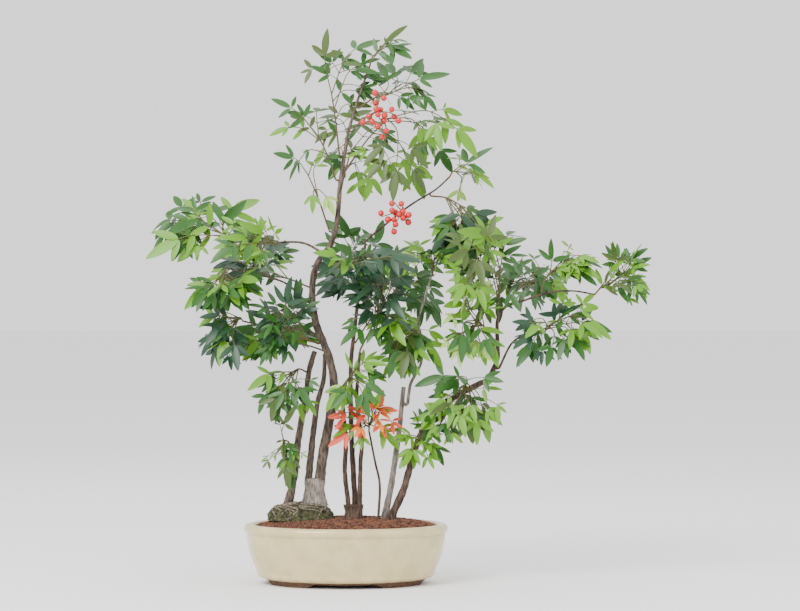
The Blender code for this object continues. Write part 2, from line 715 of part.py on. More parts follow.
    def grow_leaves(self):
        """Leaf nodes back from each frond's end."""
        for owner, course in self.fronds:
            length = sum((b - a).length for a, b in zip(course.points, course.points[1:]))
            inset = 0.8 * MM / length
            self.leaf_node(course, 1 - inset, owner, True)
            for pair in range(1, self.mass.pairs + 1):
                share = 1 - pair * NODE_SPACING * MM / length
                if share > BARE_SHARE:
                    self.leaf_node(course, share, owner, False)

    def grow_berries(self):
        """Berries set round the outer half of each panicle branch."""
        for owner, course in self.fronds:
            length = sum((b - a).length for a, b in zip(course.points, course.points[1:]))
            turn = self.rng.uniform(0, math.pi)
            for index in range(BERRIES_ON_TWIG):
                share = 1 - index * BERRY_SPACING * MM / length
                if share < 0.1:
                    break
                point, along, thick = course.at(min(share, 0.999))
                side = along.orthogonal().normalized()
                side.rotate(Matrix.Rotation(turn + index * 2.4, 3, along))
                centre = point + side * (BERRY_RADIUS - BERRY_SINK + 0.4) * MM
                test = berry(self.label(), centre, CLEAR * MM, self.parts)
                clear = self.space.free(test.data, {owner})
                discard(test)
                if clear:
                    self.keep(berry(self.label(), centre, 0, self.parts), (self.mass.name, "berry"))

    def fuse(self):
        """Joins the pieces into one closed solid and names it for the mass."""
        kept = list(self.pieces)
        for solver in ("EXACT", "MANIFOLD") * FUSE_TRIES:
            mesh = united(kept[0], kept[1:], solver)
            largest_body(mesh)
            if closed(mesh):
                break
            if solver == "MANIFOLD":
                print(self.mass.name, "loses its last leaf")
                kept.pop()
        discard(*self.pieces)
        mesh.name = self.mass.name
        made = object_of(mesh, self.mass.name, self.parts)
        tone = "berries" if self.mass.berries else f"leaves_{MASSES.index(self.mass)}"
        finish(made, material(tone, self.mass.tint, 0.5), 30)


def united(solid, others, solver):
    """The union of one object with the others, as a new mesh."""
    group = bpy.data.collections.new("fused")
    for other in others:
        group.objects.link(other)
    boolean = solid.modifiers.new("fuse", "BOOLEAN")
    boolean.operation = "UNION"
    boolean.solver = solver
    boolean.operand_type = "COLLECTION"
    boolean.collection = group
    mesh = evaluated_mesh(solid)
    solid.modifiers.clear()
    bpy.data.collections.remove(group)
    return mesh


def closed(mesh):
    """Whether every edge joins exactly two faces, also once points that nearly meet are one."""
    shape = bmesh.new()
    shape.from_mesh(mesh)
    bmesh.ops.remove_doubles(shape, verts=shape.verts, dist=NEARLY_MEETING)
    whole = len(shape.edges) > 0 and all(edge.is_manifold for edge in shape.edges)
    shape.free()
    return whole


def largest_body(mesh):
    """Keeps the one body with the most points, dropping scraps and sealed hollows."""
    shape = bmesh.new()
    shape.from_mesh(mesh)
    left = set(shape.verts)
    bodies = []
    while left:
        edge_of_search = [left.pop()]
        body = list(edge_of_search)
        while edge_of_search:
            vert = edge_of_search.pop()
            near = [e.other_vert(vert) for e in vert.link_edges]
            fresh = [v for v in near if v in left]
            left.difference_update(fresh)
            body += fresh
            edge_of_search += fresh
        bodies.append(body)
    bodies.sort(key=len)
    scraps = [vert for body in bodies[:-1] for vert in body]
    bmesh.ops.delete(shape, geom=scraps, context="VERTS")
    shape.to_mesh(mesh)
    shape.free()


def build_foliage(parts, cutters, limbs, courses):
    """Every mass: first all stems and fronds, then leaves and berries, then the solids."""
    space = Space()
    for obj in parts.objects:
        owner = ("limb", obj.name) if obj.name in limbs else ("ground", obj.name)
        space.add(obj.data, owner)
    section = three_sided_section(cutters)
    growers = [Grower(mass, courses, space, section, parts) for mass in MASSES]
    for grower in growers:
        grower.grow_twigs()
    for grower in growers:
        if grower.mass.berries:
            grower.grow_berries()
        else:
            grower.grow_leaves()
    for grower in growers:
        grower.fuse()


def stand_over_origin(parts):
    """Moves the whole so that the middle of its box is over the origin."""
    corners = [v.co for obj in parts.objects for v in obj.data.vertices]
    middle = [(min(c[i] for c in corners) + max(c[i] for c in corners)) / 2 for i in range(2)]
    for obj in parts.objects:
        obj.location = (-middle[0], -middle[1], 0)


def main():
    """Builds the plant from the pot upwards."""
    clear_scene()
    parts = new_collection(PLANT)
    cutters = new_collection("cutters")
    build_pot(parts)
    build_foot_ring(parts, cutters)
    build_soil(parts)
    build_bases(parts)
    limbs, courses = build_limbs(parts)
    build_foliage(parts, cutters, limbs, courses)
    stand_over_origin(parts)


main()
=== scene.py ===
"""Looks of a potted heavenly bamboo bonsai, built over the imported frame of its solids.

Lengths in the tables and in the classes' fields are in millimetres. Meshes and shaders are in metres, and
so is what a docstring calls metres. Places are from the pot's middle, and heights above the ground.
"""

import logging
import math
import random
from collections.abc import Callable
from dataclasses import dataclass, field, replace
from enum import Enum

import bmesh
import bpy
from mathutils import Matrix, Vector, noise

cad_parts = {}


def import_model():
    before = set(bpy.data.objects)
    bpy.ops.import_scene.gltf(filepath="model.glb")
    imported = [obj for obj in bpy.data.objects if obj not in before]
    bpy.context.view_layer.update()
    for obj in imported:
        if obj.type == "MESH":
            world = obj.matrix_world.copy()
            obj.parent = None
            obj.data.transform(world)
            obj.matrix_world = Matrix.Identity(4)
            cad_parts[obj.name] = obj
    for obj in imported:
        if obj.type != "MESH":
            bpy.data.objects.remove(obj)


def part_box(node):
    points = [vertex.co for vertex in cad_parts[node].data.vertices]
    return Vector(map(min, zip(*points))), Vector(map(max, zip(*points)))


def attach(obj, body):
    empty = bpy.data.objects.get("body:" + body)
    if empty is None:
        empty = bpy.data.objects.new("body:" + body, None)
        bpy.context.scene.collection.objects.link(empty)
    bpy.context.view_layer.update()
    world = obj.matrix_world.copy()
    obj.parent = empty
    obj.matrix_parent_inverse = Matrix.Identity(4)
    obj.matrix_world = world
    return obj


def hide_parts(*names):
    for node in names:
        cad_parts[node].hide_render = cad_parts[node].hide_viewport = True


logging.basicConfig(level=logging.INFO, format="%(message)s")
LOG = logging.getLogger("bonsai")
MM = 0.001
SEED = 7
FULL_TURN = 2 * math.pi
POT_DEPTH_SHARE = 0.75
WELD = 1e-6
BUMP_HEIGHT = 0.0008

Relief = Callable[[float, float], float]
Colour = tuple[float, float, float]


class Tint(Enum):
    """Leaf colours, one for each frond."""

    BRIGHT = "bright"
    GREEN = "green"
    DEEP = "deep"
    OLIVE = "olive"
    PALE = "pale"
    YELLOW = "yellow"
    ORANGE = "orange"
    CORAL = "coral"


class Bark(Enum):
    """Kinds of bark."""

    GREY = "grey"
    PALE = "pale"
    BROWN = "brown"


@dataclass(frozen=True)
class Finish:
    """Colour, roughness and coat of one surface, in linear light."""

    colour: Colour
    roughness: float
    coat: float = 0.0


@dataclass(frozen=True)
class Speckle:
    """A rough surface between a dark and a light colour, and how fine its grain is."""

    dark: Colour
    light: Colour
    scale: float


LEAF_FINISHES = {
    Tint.BRIGHT: Finish((0.105, 0.270, 0.004), 0.45),
    Tint.GREEN: Finish((0.018, 0.095, 0.004), 0.45),
    Tint.DEEP: Finish((0.006, 0.045, 0.013), 0.42),
    Tint.OLIVE: Finish((0.045, 0.085, 0.005), 0.48),
    Tint.PALE: Finish((0.33, 0.52, 0.10), 0.5),
    Tint.YELLOW: Finish((0.80, 0.52, 0.02), 0.5),
    Tint.ORANGE: Finish((0.78, 0.20, 0.02), 0.5),
    Tint.CORAL: Finish((0.66, 0.075, 0.030), 0.5),
}
TWIG_FINISH = Finish((0.085, 0.048, 0.018), 0.6)
STALK_FINISH = Finish((0.085, 0.085, 0.018), 0.55)
BERRY_FINISH = Finish((0.55, 0.002, 0.003), 0.22, 0.4)
GLAZE_FINISH = Finish((0.62, 0.50, 0.25), 0.28, 0.5)
FLOOR_FINISH = Finish((0.93, 0.93, 0.93), 0.9)
CLAY = Speckle((0.055, 0.026, 0.014), (0.14, 0.072, 0.043), 500)
SOIL_GROUND = Speckle((0.035, 0.018, 0.012), (0.11, 0.055, 0.035), 400)
SOIL_GRAINS = Speckle((0.040, 0.013, 0.007), (0.20, 0.075, 0.035), 160)
MOSS = Speckle((0.010, 0.011, 0.005), (0.080, 0.085, 0.028), 220)
ROOT_BARK = Speckle((0.045, 0.032, 0.022), (0.24, 0.19, 0.14), 300)
BARK_TONES = {
    Bark.GREY: ((0.020, 0.013, 0.009), (0.155, 0.110, 0.078)),
    Bark.PALE: ((0.085, 0.068, 0.056), (0.33, 0.29, 0.245)),
    Bark.BROWN: ((0.012, 0.006, 0.004), (0.105, 0.060, 0.038)),
}
PALETTES = {
    Tint.BRIGHT: ((Tint.BRIGHT, 6), (Tint.GREEN, 3), (Tint.PALE, 1)),
    Tint.GREEN: ((Tint.GREEN, 6), (Tint.BRIGHT, 3), (Tint.OLIVE, 1)),
    Tint.DEEP: ((Tint.DEEP, 6), (Tint.GREEN, 3), (Tint.BRIGHT, 1)),
    Tint.OLIVE: ((Tint.OLIVE, 4), (Tint.GREEN, 4), (Tint.BRIGHT, 1)),
    Tint.CORAL: ((Tint.CORAL, 4), (Tint.ORANGE, 3), (Tint.BRIGHT, 3), (Tint.YELLOW, 1)),
}


@dataclass(frozen=True)
class LimbPlan:
    """A limb: radii, bends, bark, and what carries it at which share of the carrier's length."""

    name: str
    base: float
    tip: float
    bends: tuple
    bark: Bark
    carrier: str = ""
    share: float = 1.0
    flare: float = 0.0


@dataclass(frozen=True)
class FootPlan:
    """A foot of two or three canes: centre, depth for its width, and its side's radii and heights."""

    name: str
    centre: tuple[float, float]
    depth_share: float
    side: tuple
    bark: Bark


@dataclass(frozen=True)
class MassPlan:
    """A foliage mass: its limb, where its stem forks, its fronds' ends and its looks."""

    name: str
    limb: str
    share: float
    fork: tuple
    ends: tuple
    tint: Tint = Tint.GREEN
    leaf: float = 38
    pairs: int = 2
    berries: bool = False


# The bends, forks and ends began as places read from the photograph, turned into millimetres.
# The numbers of pairs, and the tints of apex_left, crown_side and left_end, aren't the solids'. The rest is.
LIMBS = (
    LimbPlan("trunk", 6.4, 2.4, (
        (-32.5, 0, 129.4), (-32, 0, 134), (-28.7, 0, 157), (-20, 0, 202), (-15, 0, 243), (-21.4, 0, 280),
        (-36.5, 0, 318), (-42, 0, 356), (-37, 0, 392), (-20.9, 0, 416), (-11.4, 0, 444), (-7, 0, 495),
        (1.2, 0, 549),
    ), Bark.GREY, flare=0.6),
    LimbPlan("stem_left_outer", 5.2, 3.2, (
        (-72, 3, 96.7), (-69, 4, 108), (-64, 6, 135), (-59, 9, 180), (-50, 12, 230), (-46, 13, 262),
        (-39, 15, 286),
    ), Bark.GREY, flare=1.4),
    LimbPlan("stem_left_inner", 4.6, 2.4, (
        (-46.5, 0, 129.4), (-45.5, 1, 136), (-42, 4, 174), (-36, 9, 220), (-28, 13, 252), (-27, 14, 283),
    ), Bark.GREY),
    LimbPlan("stem_centre", 3.7, 1.7, (
        (11, 5, 96.8), (10.7, 5, 108), (8.5, 6, 145), (6, 8, 200), (5.9, 9, 270), (11, 11, 318),
        (16.5, 12, 368), (23.8, 12, 420),
    ), Bark.BROWN),
    LimbPlan("stem_centre_left", 3.2, 2.5, (
        (3, -4, 96.8), (2, -5, 106), (-1.3, -8, 139), (0, -12, 177), (-3.4, -14, 215), (-1.6, -15, 236),
    ), Bark.BROWN),
    LimbPlan("stem_centre_right", 3.0, 1.9, (
        (17, -4, 96.8), (17, -5, 108), (18.1, -6, 150), (19.6, -7, 178), (13.4, -7, 228), (17.3, -7, 285),
    ), Bark.BROWN),
    LimbPlan("stem_pale", 4.2, 2.8, (
        (46.9, 6, 78.9), (49, 6, 87), (55, 7, 115), (60.6, 8, 151), (66, 8, 190), (71.2, 8, 242),
    ), Bark.PALE, flare=1.0),
    LimbPlan("bough_pale", 2.2, 1.2, (
        (80, 3, 246), (92.8, 0, 272), (94, -2, 300), (89.5, -2, 323), (96.5, 0, 350), (106.4, 0, 381),
    ), Bark.PALE, carrier="stem_pale", share=0.88),
    LimbPlan("stem_right", 4.7, 3.6, (
        (57.5, -7, 78.9), (58.5, -7, 87), (71, -7, 115), (80.6, -7, 148), (92, -7, 182), (112, -7, 214),
        (139.7, -7, 233), (168, -7, 248),
    ), Bark.BROWN, flare=1.0),
    LimbPlan("bough_right", 3.5, 1.5, (
        (181.7, -7, 263), (187.5, -6, 280), (187, -5, 304), (188, -5, 327), (198, -6, 342),
        (217.8, -8, 348.6),
    ), Bark.BROWN, carrier="stem_right"),
    LimbPlan("bough_right_far", 1.4, 1.0, (
        (250, -9, 359), (280, -10, 361), (304, -11, 357),
    ), Bark.BROWN, carrier="bough_right"),
    LimbPlan("bough_right_low", 1.6, 1.0, (
        (203.7, -10, 295), (219.5, -14, 306), (242, -18, 310),
    ), Bark.BROWN, carrier="bough_right", share=0.22),
    LimbPlan("stem_slender", 1.8, 1.2, (
        (39.5, -6, 78.9), (40.3, -6, 86), (41.7, -6, 122), (36, -7, 150), (29, -9, 186),
    ), Bark.BROWN),
    LimbPlan("bough_left_upper", 1.6, 1.1, (
        (-57, -4, 421), (-104, -8, 420), (-141, -10, 422),
    ), Bark.GREY, carrier="trunk", share=0.66),
    LimbPlan("bough_left_middle", 1.5, 1.1, (
        (-75.5, -8, 371), (-112.6, -13, 382), (-141, -15, 388),
    ), Bark.GREY, carrier="trunk", share=0.52),
    LimbPlan("bough_left_low", 1.5, 1.1, (
        (-69, -4, 315), (-104, -6, 319), (-124, -8, 323),
    ), Bark.GREY, carrier="trunk", share=0.43),
    LimbPlan("apex_stem", 2.1, 1.3, (
        (5, 0, 566), (12.4, 0, 591), (21, 0, 616), (28.5, 0, 637),
    ), Bark.GREY, carrier="trunk"),
    LimbPlan("bough_right_upper", 1.5, 1.1, (
        (48, 10, 443), (79, 6, 467), (110, 2, 486), (126, -2, 500),
    ), Bark.BROWN, carrier="stem_centre"),
)

MASSES = (
    MassPlan("apex_left", "trunk", 0.95, (-18, -4, 606), ((-26, -8, 651), (11, 6, 661)), Tint.GREEN, 34),
    MassPlan("crown_right", "apex_stem", 1.0, (35, 2, 653),
             ((49, 0, 669), (58, -8, 661)), Tint.GREEN, 32, 1),
    MassPlan("crown_side", "apex_stem", 0.45, (52, -8, 603), ((90, -14, 622), (61, 26, 632)), Tint.GREEN),
    MassPlan("arching", "trunk", 0.92, (52, -4, 575),
             ((137, -12, 561), (97, 34, 560), (62, -26, 509)), Tint.GREEN),
    MassPlan("top_left", "trunk", 0.88, (-34, -12, 552), ((-67, -18, 586), (-37, 4, 583)), Tint.OLIVE, 28),
    MassPlan("standing", "trunk", 0.73, (-47, -6, 505),
             ((-64, -12, 525), (-27, -2, 527)), Tint.BRIGHT, 28, 0),
    MassPlan("top_back", "trunk", 0.85, (6, 52, 539), ((-15, 104, 583), (36, 104, 570)), Tint.GREEN),
    MassPlan("berries_upper", "apex_stem", 0.12, (37, -22, 581),
             ((25, -30, 566), (46, -28, 550), (66, -24, 572), (40, -20, 604)), berries=True),
    MassPlan("berries_low", "bough_right_upper", 0.5, (69, -22, 459),
             ((60, -28, 470), (78, -26, 446), (57, -34, 436), (44, -26, 452)), berries=True),
    MassPlan("right_fronds", "bough_right_upper", 1.0, (136, -8, 508),
             ((150, -10, 518), (144, 26, 497)), Tint.BRIGHT, 36),
    MassPlan("right_upper", "bough_right_upper", 0.78, (143, -22, 465),
             ((176, -34, 411), (130, -34, 440)), Tint.DEEP, 42),
    MassPlan("right_over", "bough_right", 0.62, (190, -20, 389),
             ((200, 0, 429), (172, -36, 430), (147, -72, 410)), Tint.GREEN),
    MassPlan("centre_upper", "trunk", 0.6, (6, -50, 394), ((9, -84, 407), (57, -92, 402)), Tint.DEEP, 36),
    MassPlan("centre_blue", "stem_centre", 0.62, (41, -30, 335),
             ((56, -46, 370), (26, -70, 355)), Tint.DEEP, 44),
    MassPlan("centre_right", "bough_pale", 1.0, (108, 2, 394),
             ((84, -12, 408), (129, 16, 404)), Tint.BRIGHT),
    MassPlan("centre_mid", "bough_pale", 0.5, (80, -16, 319),
             ((69, -34, 330), (98, -30, 298), (62, -44, 289)), Tint.GREEN),
    MassPlan("centre_low", "stem_centre_left", 1.0, (6, -38, 257),
             ((-6, -48, 242), (23, -56, 274), (21, -58, 237)), Tint.BRIGHT, 30, 1),
    MassPlan("centre_coral", "stem_slender", 1.0, (30, -14, 196),
             ((3, -26, 187), (47, -28, 189), (42, -30, 217)), Tint.CORAL, 30, 1),
    MassPlan("centre_back", "stem_centre_right", 1.0, (62, 60, 365),
             ((77, 104, 406), (105, 100, 350)), Tint.GREEN),
    MassPlan("centre_behind", "stem_centre", 0.75, (21, 60, 368),
             ((-7, 104, 404), (36, 96, 421)), Tint.DEEP),
    MassPlan("left_upper_front", "bough_left_upper", 0.5, (-85, -44, 417),
             ((-100, -66, 431), (-131, -84, 415)), Tint.BRIGHT, 34),
    MassPlan("left_end", "bough_left_upper", 1.0, (-150, -14, 429),
             ((-204, -28, 425), (-142, 8, 459)), Tint.GREEN, 46),
    MassPlan("left_mid", "bough_left_middle", 1.0, (-150, -22, 382),
             ((-167, -36, 368), (-128, -60, 376)), Tint.GREEN),
    MassPlan("left_dark", "bough_left_low", 1.0, (-133, -12, 325),
             ((-159, -22, 342), (-159, 4, 313), (-136, -34, 295)), Tint.DEEP, 34),
    MassPlan("left_inner", "trunk", 0.4, (-63, -24, 300), ((-92, -36, 291), (-72, -52, 345)), Tint.DEEP, 32),
    MassPlan("left_low", "stem_left_outer", 0.86, (-66, -12, 261),
             ((-93, -26, 259), (-85, -40, 230), (-55, -44, 242)), Tint.GREEN, 30),
    MassPlan("left_foot", "stem_left_outer", 0.36, (-77, -12, 177),
             ((-75, -32, 198), (-73, -34, 146)), Tint.OLIVE, 26, 1),
    MassPlan("left_back", "trunk", 0.56, (-103, 70, 380), ((-148, 112, 394), (-111, 122, 422)), Tint.DEEP),
    MassPlan("left_low_back", "stem_left_inner", 1.0, (-79, 60, 294),
             ((-124, 92, 294), (-74, 112, 322)), Tint.GREEN),
    MassPlan("right_mid", "bough_right", 0.48, (158, -30, 325),
             ((147, -44, 352), (142, -60, 308), (174, -52, 301)), Tint.BRIGHT, 36),
    MassPlan("right_back", "bough_right", 0.8, (228, 66, 372),
             ((256, 112, 391), (211, 124, 391)), Tint.GREEN),
    MassPlan("right_far_up", "bough_right_far", 0.3, (252, -8, 384),
             ((254, -10, 398), (285, -20, 394)), Tint.BRIGHT, 30, 1),
    MassPlan("right_tip", "bough_right_far", 1.0, (321, -14, 365),
             ((352, -14, 392), (350, -30, 366)), Tint.GREEN, 32),
    MassPlan("right_far_low", "bough_right_low", 1.0, (252, -20, 318),
             ((262, -40, 333), (290, -24, 323), (231, -38, 300)), Tint.DEEP, 36),
    MassPlan("right_low", "stem_right", 0.84, (150, -34, 247),
             ((121, -42, 257), (141, -60, 257), (168, -36, 213)), Tint.GREEN, 36),
    MassPlan("low_right", "stem_right", 0.44, (95, -20, 182),
             ((101, -33, 197), (81, -35, 168), (111, -13, 171)), Tint.BRIGHT, 30, 1),
)

FEET = (
    FootPlan("twin_foot", (-39, 0), 0.62, ((17.5, 95.5), (14.4, 104), (12.6, 117), (13.2, 129.2)), Bark.PALE),
    FootPlan("centre_foot", (9.5, 0), 0.9, ((14, 78.5), (12, 84), (11, 90), (12.4, 96.6)), Bark.BROWN),
)


@dataclass
class Sock:
    """A shader socket whose sums and products make Math nodes."""

    tree: bpy.types.NodeTree
    socket: bpy.types.NodeSocket

    @classmethod
    def of(cls, tree: bpy.types.NodeTree, kind: str, output: int | str, sockets: dict, **settings) -> "Sock":
        """Adds one shader node.

        Args:
            tree: The material's nodes.
            kind: The node's type.
            output: Which output is wanted, by name or number.
            sockets: A value or a link for each input, by name or number.
            settings: The node's settings, which are set first.

        Returns:
            That output.
        """
        made = tree.nodes.new(kind)
        for name, value in settings.items():
            setattr(made, name, value)
        for key, value in sockets.items():
            if isinstance(value, Sock):
                tree.links.new(value.socket, made.inputs[key])
            else:
                made.inputs[key].default_value = value
        return cls(tree, made.outputs[output])

    def maths(self, operation: str, first: "Sock | float", second: "Sock | float") -> "Sock":
        """The result of a Math node over two values or links."""
        return Sock.of(self.tree, "ShaderNodeMath", 0, {0: first, 1: second}, operation=operation)

    def __add__(self, other: "Sock | float") -> "Sock":
        """Sum."""
        return self.maths("ADD", self, other)

    def __sub__(self, other: "Sock | float") -> "Sock":
        """Difference."""
        return self.maths("SUBTRACT", self, other)

    def __rsub__(self, other: float) -> "Sock":
        """Difference from a number."""
        return self.maths("SUBTRACT", other, self)

    def __mul__(self, other: "Sock | float") -> "Sock":
        """Product."""
        return self.maths("MULTIPLY", self, other)

    __radd__ = __add__
    __rmul__ = __mul__

    def absolute(self) -> "Sock":
        """The value without its sign."""
        return self.maths("ABSOLUTE", self, 0)

    def clamped(self, low: float, high: float) -> "Sock":
        """The value's place between two limits, kept from 0 to 1."""
        sockets = {"Value": self, "From Min": low, "From Max": high}
        return Sock.of(self.tree, "ShaderNodeMapRange", 0, sockets, clamp=True)

    def blend(self, first: "Sock | Colour", second: "Sock | Colour") -> "Sock":
        """Mixes two colours by this value.

        Args:
            first: The colour where this value is 0.
            second: The colour where it is 1.

        Returns:
            The mixed colour.
        """
        ends = [end if isinstance(end, Sock) else (*end, 1) for end in (first, second)]
        sockets = {"Factor": self, "A": ends[0], "B": ends[1]}
        return Sock.of(self.tree, "ShaderNodeMix", "Result", sockets, data_type="RGBA")


@dataclass
class Surface:
    """A Principled material with helpers for its patterns."""

    name: str
    finish: Finish
    material: bpy.types.Material = field(init=False)
    tree: bpy.types.NodeTree = field(init=False)
    shader: bpy.types.Node = field(init=False)

    def __post_init__(self) -> None:
        """Makes the material and sets its constants."""
        self.material = bpy.data.materials.new(self.name)
        self.material.use_nodes = True
        self.tree = self.material.node_tree
        self.shader = self.tree.nodes["Principled BSDF"]
        self.shader.inputs["Base Color"].default_value = (*self.finish.colour, 1)
        self.shader.inputs["Roughness"].default_value = self.finish.roughness
        self.shader.inputs["Coat Weight"].default_value = self.finish.coat
        self.material.diffuse_color = (*self.finish.colour, 1)

    def place(self) -> Sock:
        """The object coordinates."""
        return Sock.of(self.tree, "ShaderNodeTexCoord", "Object", {})

    def height(self) -> Sock:
        """The height above the ground, in metres."""
        return Sock.of(self.tree, "ShaderNodeSeparateXYZ", "Z", {0: self.place()})

    def grain(self, scale: float, detail: float, stretch: tuple = (1, 1, 1)) -> Sock:
        """Adds a noise pattern over the object coordinates.

        Args:
            scale: How fine the noise is.
            detail: Its detail.
            stretch: The coordinates' scale along each axis.

        Returns:
            The pattern.
        """
        spot = Sock.of(self.tree, "ShaderNodeMapping", 0, {"Scale": stretch, "Vector": self.place()})
        sockets = {"Scale": scale, "Detail": detail, "Vector": spot}
        return Sock.of(self.tree, "ShaderNodeTexNoise", "Fac", sockets)

    def feed(self, name: str, value: Sock) -> None:
        """Links a pattern to one of the shader's inputs."""
        self.tree.links.new(value.socket, self.shader.inputs[name])

    def bump(self, value: Sock, strength: float) -> None:
        """Shows a pattern as relief."""
        sockets = {"Strength": strength, "Distance": BUMP_HEIGHT, "Height": value}
        self.feed("Normal", Sock.of(self.tree, "ShaderNodeBump", 0, sockets))


class Finishes:
    """All the materials, made once."""

    def __init__(self) -> None:
        """Makes every material."""
        self.leaves = {
            tint: Surface(f"leaf_{tint.value}", finish).material for tint, finish in LEAF_FINISHES.items()
        }
        self.bark = {kind: self.bark_surface(kind) for kind in Bark}
        self.twig = Surface("twig_brown", TWIG_FINISH).material
        self.stalk = Surface("stalk_green", STALK_FINISH).material
        self.berry = Surface("berry_red", BERRY_FINISH).material
        self.glaze = self.glaze_surface()
        self.clay = self.speckled("bare_clay", CLAY)
        self.soil = self.speckled("soil_ground", SOIL_GROUND)
        self.grains = self.speckled("soil_grains", SOIL_GRAINS)
        self.moss = self.speckled("moss", MOSS)
        self.root = self.speckled("root_bark", ROOT_BARK)

    @staticmethod
    def speckled(name: str, speckle: Speckle) -> bpy.types.Material:
        """Makes a rough surface that varies between two colours.

        Args:
            name: The material's name.
            speckle: Its colours and grain.

        Returns:
            The material.
        """
        made = Surface(name, Finish(speckle.light, 0.9))
        pattern = made.grain(speckle.scale, 4)
        made.feed("Base Color", pattern.clamped(0.35, 0.65).blend(speckle.dark, speckle.light))
        made.bump(pattern, 0.5)
        return made.material

    @staticmethod
    def bark_surface(kind: Bark) -> bpy.types.Material:
        """Makes bark whose streaks run up the cane.

        Args:
            kind: Which bark it is.

        Returns:
            The material.
        """
        dark, light = BARK_TONES[kind]
        made = Surface(f"bark_{kind.value}", Finish(light, 0.85))
        streaks = made.grain(420, 5, (1, 1, 0.22))
        patches = made.grain(60, 2)
        tone = (streaks * 0.7 + patches * 0.3).clamped(0.38, 0.62)
        made.feed("Base Color", tone.blend(dark, light))
        made.bump(streaks, 0.7)
        return made.material

    @staticmethod
    def glaze_surface() -> bpy.types.Material:
        """Makes the mottled cream glaze with brown specks, and painted shade in the rim's groove and round
        the base.

        Returns:
            The material.
        """
        groove_height = 0.0622
        cream = GLAZE_FINISH.colour
        greener = (0.52, 0.44, 0.19)
        # Brown that the glaze is mixed towards for the painted shade in the groove and round the base.
        shade_brown = (0.40, 0.27, 0.13)
        speck_brown = (0.30, 0.20, 0.10)
        made = Surface("cream_glaze", GLAZE_FINISH)
        height = made.height()
        mottled = made.grain(45, 5).clamped(0.42, 0.66).blend(cream, greener)
        specks = made.grain(620, 2).clamped(0.66, 0.74)
        # Painted shade: the glaze turns brown, with a noise mottle, low on the pot and along the rim's
        # groove.
        near_base = 1 - height.clamped(0.007, 0.019)
        near_groove = 1 - (height - groove_height).absolute().clamped(0.0004, 0.0018)
        painted_shade = (near_base + near_groove * 0.8) * made.grain(140, 4).clamped(0.40, 0.66)
        shaded = (painted_shade * 0.6).blend(mottled, shade_brown)
        made.feed("Base Color", (specks * 0.45).blend(shaded, speck_brown))
        made.feed("Roughness", made.grain(90, 3).clamped(0.2, 0.9) * 0.2 + 0.2)
        return made.material


@dataclass
class Course:
    """A centre line with its radii, in metres."""

    points: list[Vector]
    radii: list[float]

    def length(self) -> float:
        """The line's length."""
        return sum((b - a).length for a, b in zip(self.points, self.points[1:]))

    def at(self, share: float) -> tuple[Vector, Vector, float]:
        """Finds a place on the line.

        Args:
            share: How far along the line, from 0 to 1.

        Returns:
            The point, the unit tangent and the radius there.
        """
        runs = [(b - a).length for a, b in zip(self.points, self.points[1:])]
        left = share * sum(runs)
        for index, run in enumerate(runs):
            if left <= run or index == len(runs) - 1:
                break
            left -= run
        t = min(1.0, left / run)
        a, b = self.points[index], self.points[index + 1]
        radius = self.radii[index] * (1 - t) + self.radii[index + 1] * t
        return a.lerp(b, t), (b - a).normalized(), radius


def smooth_line(bends: list[Vector], step: float) -> list[Vector]:
    """Draws a smooth curve through bends.

    Args:
        bends: The points that the curve passes.
        step: About how far apart the curve's points are.

    Returns:
        The curve's points.
    """
    ends = [bends[0], *bends, bends[-1]]
    line = []
    for index in range(1, len(ends) - 2):
        a, b, c, d = ends[index - 1:index + 3]
        count = max(1, round((c - b).length / step))
        for part in range(count):
            t = part / count
            line.append(0.5 * (2 * b + (c - a) * t + (2 * a - 5 * b + 4 * c - d) * t * t
                               + (3 * b - a - 3 * c + d) * t ** 3))
    line.append(bends[-1])
    return line


def tapered(points: list[Vector], base: float, tip: float, flare: float = 0.0) -> list[float]:
    """Works out a radius for each point of a line.

    Args:
        points: The line.
        base: The radius at its start, in millimetres.
        tip: The radius at its end.
        flare: How much wider the start is, in millimetres. It fades along the line.

    Returns:
        The radii in metres.
    """
    flare_reach = 14 * MM
    reached = [0.0]
    for a, b in zip(points, points[1:]):
        reached.append(reached[-1] + (b - a).length)
    return [
        (base + (tip - base) * run / reached[-1] + flare * math.exp(-run / flare_reach)) * MM
        for run in reached
    ]


def leave(course: Course, share: float, toward: Vector, radius: float, sunk: float) -> list[Vector]:
    """Starts a shoot on a limb.

    Args:
        course: The limb.
        share: Where on its length the shoot leaves.
        toward: Where the shoot goes.
        radius: The shoot's radius.
        sunk: How deep its root lies in the limb.

    Returns:
        The shoot's first two points, one in the limb and one outside it.
    """
    point, tangent, thick = course.at(share)
    clear = max(2.2 * radius, 3 * MM)
    if share >= 1:
        return [point - tangent * sunk, point + tangent * clear]
    side = toward - point
    away = (side - tangent * side.dot(tangent)).normalized()
    return [point + away * (thick - sunk), point + away * (thick + clear)]


def ridged(phase: float, depth: float) -> Relief:
    """Makes a relief of lengthwise ridges and faint rings.

    Args:
        phase: Which part of the noise it takes.
        depth: How deep it is, as a share of the radius.

    Returns:
        A function that gives a factor on the radius at a turn and a run along a tube.
    """
    ridges = 2.2
    ridge_length = 9 * MM
    ring_length = 5 * MM

    def factor(turn: float, run: float) -> float:
        """The factor at a turn and a run along the tube."""
        spot = Vector((math.cos(turn) * ridges + phase, math.sin(turn) * ridges, run / ridge_length))
        ring = noise.noise(Vector((phase, 3.0, run / ring_length)))
        return 1 + depth * (noise.noise(spot) * 1.1 + 0.5 * ring - 0.15)

    return factor


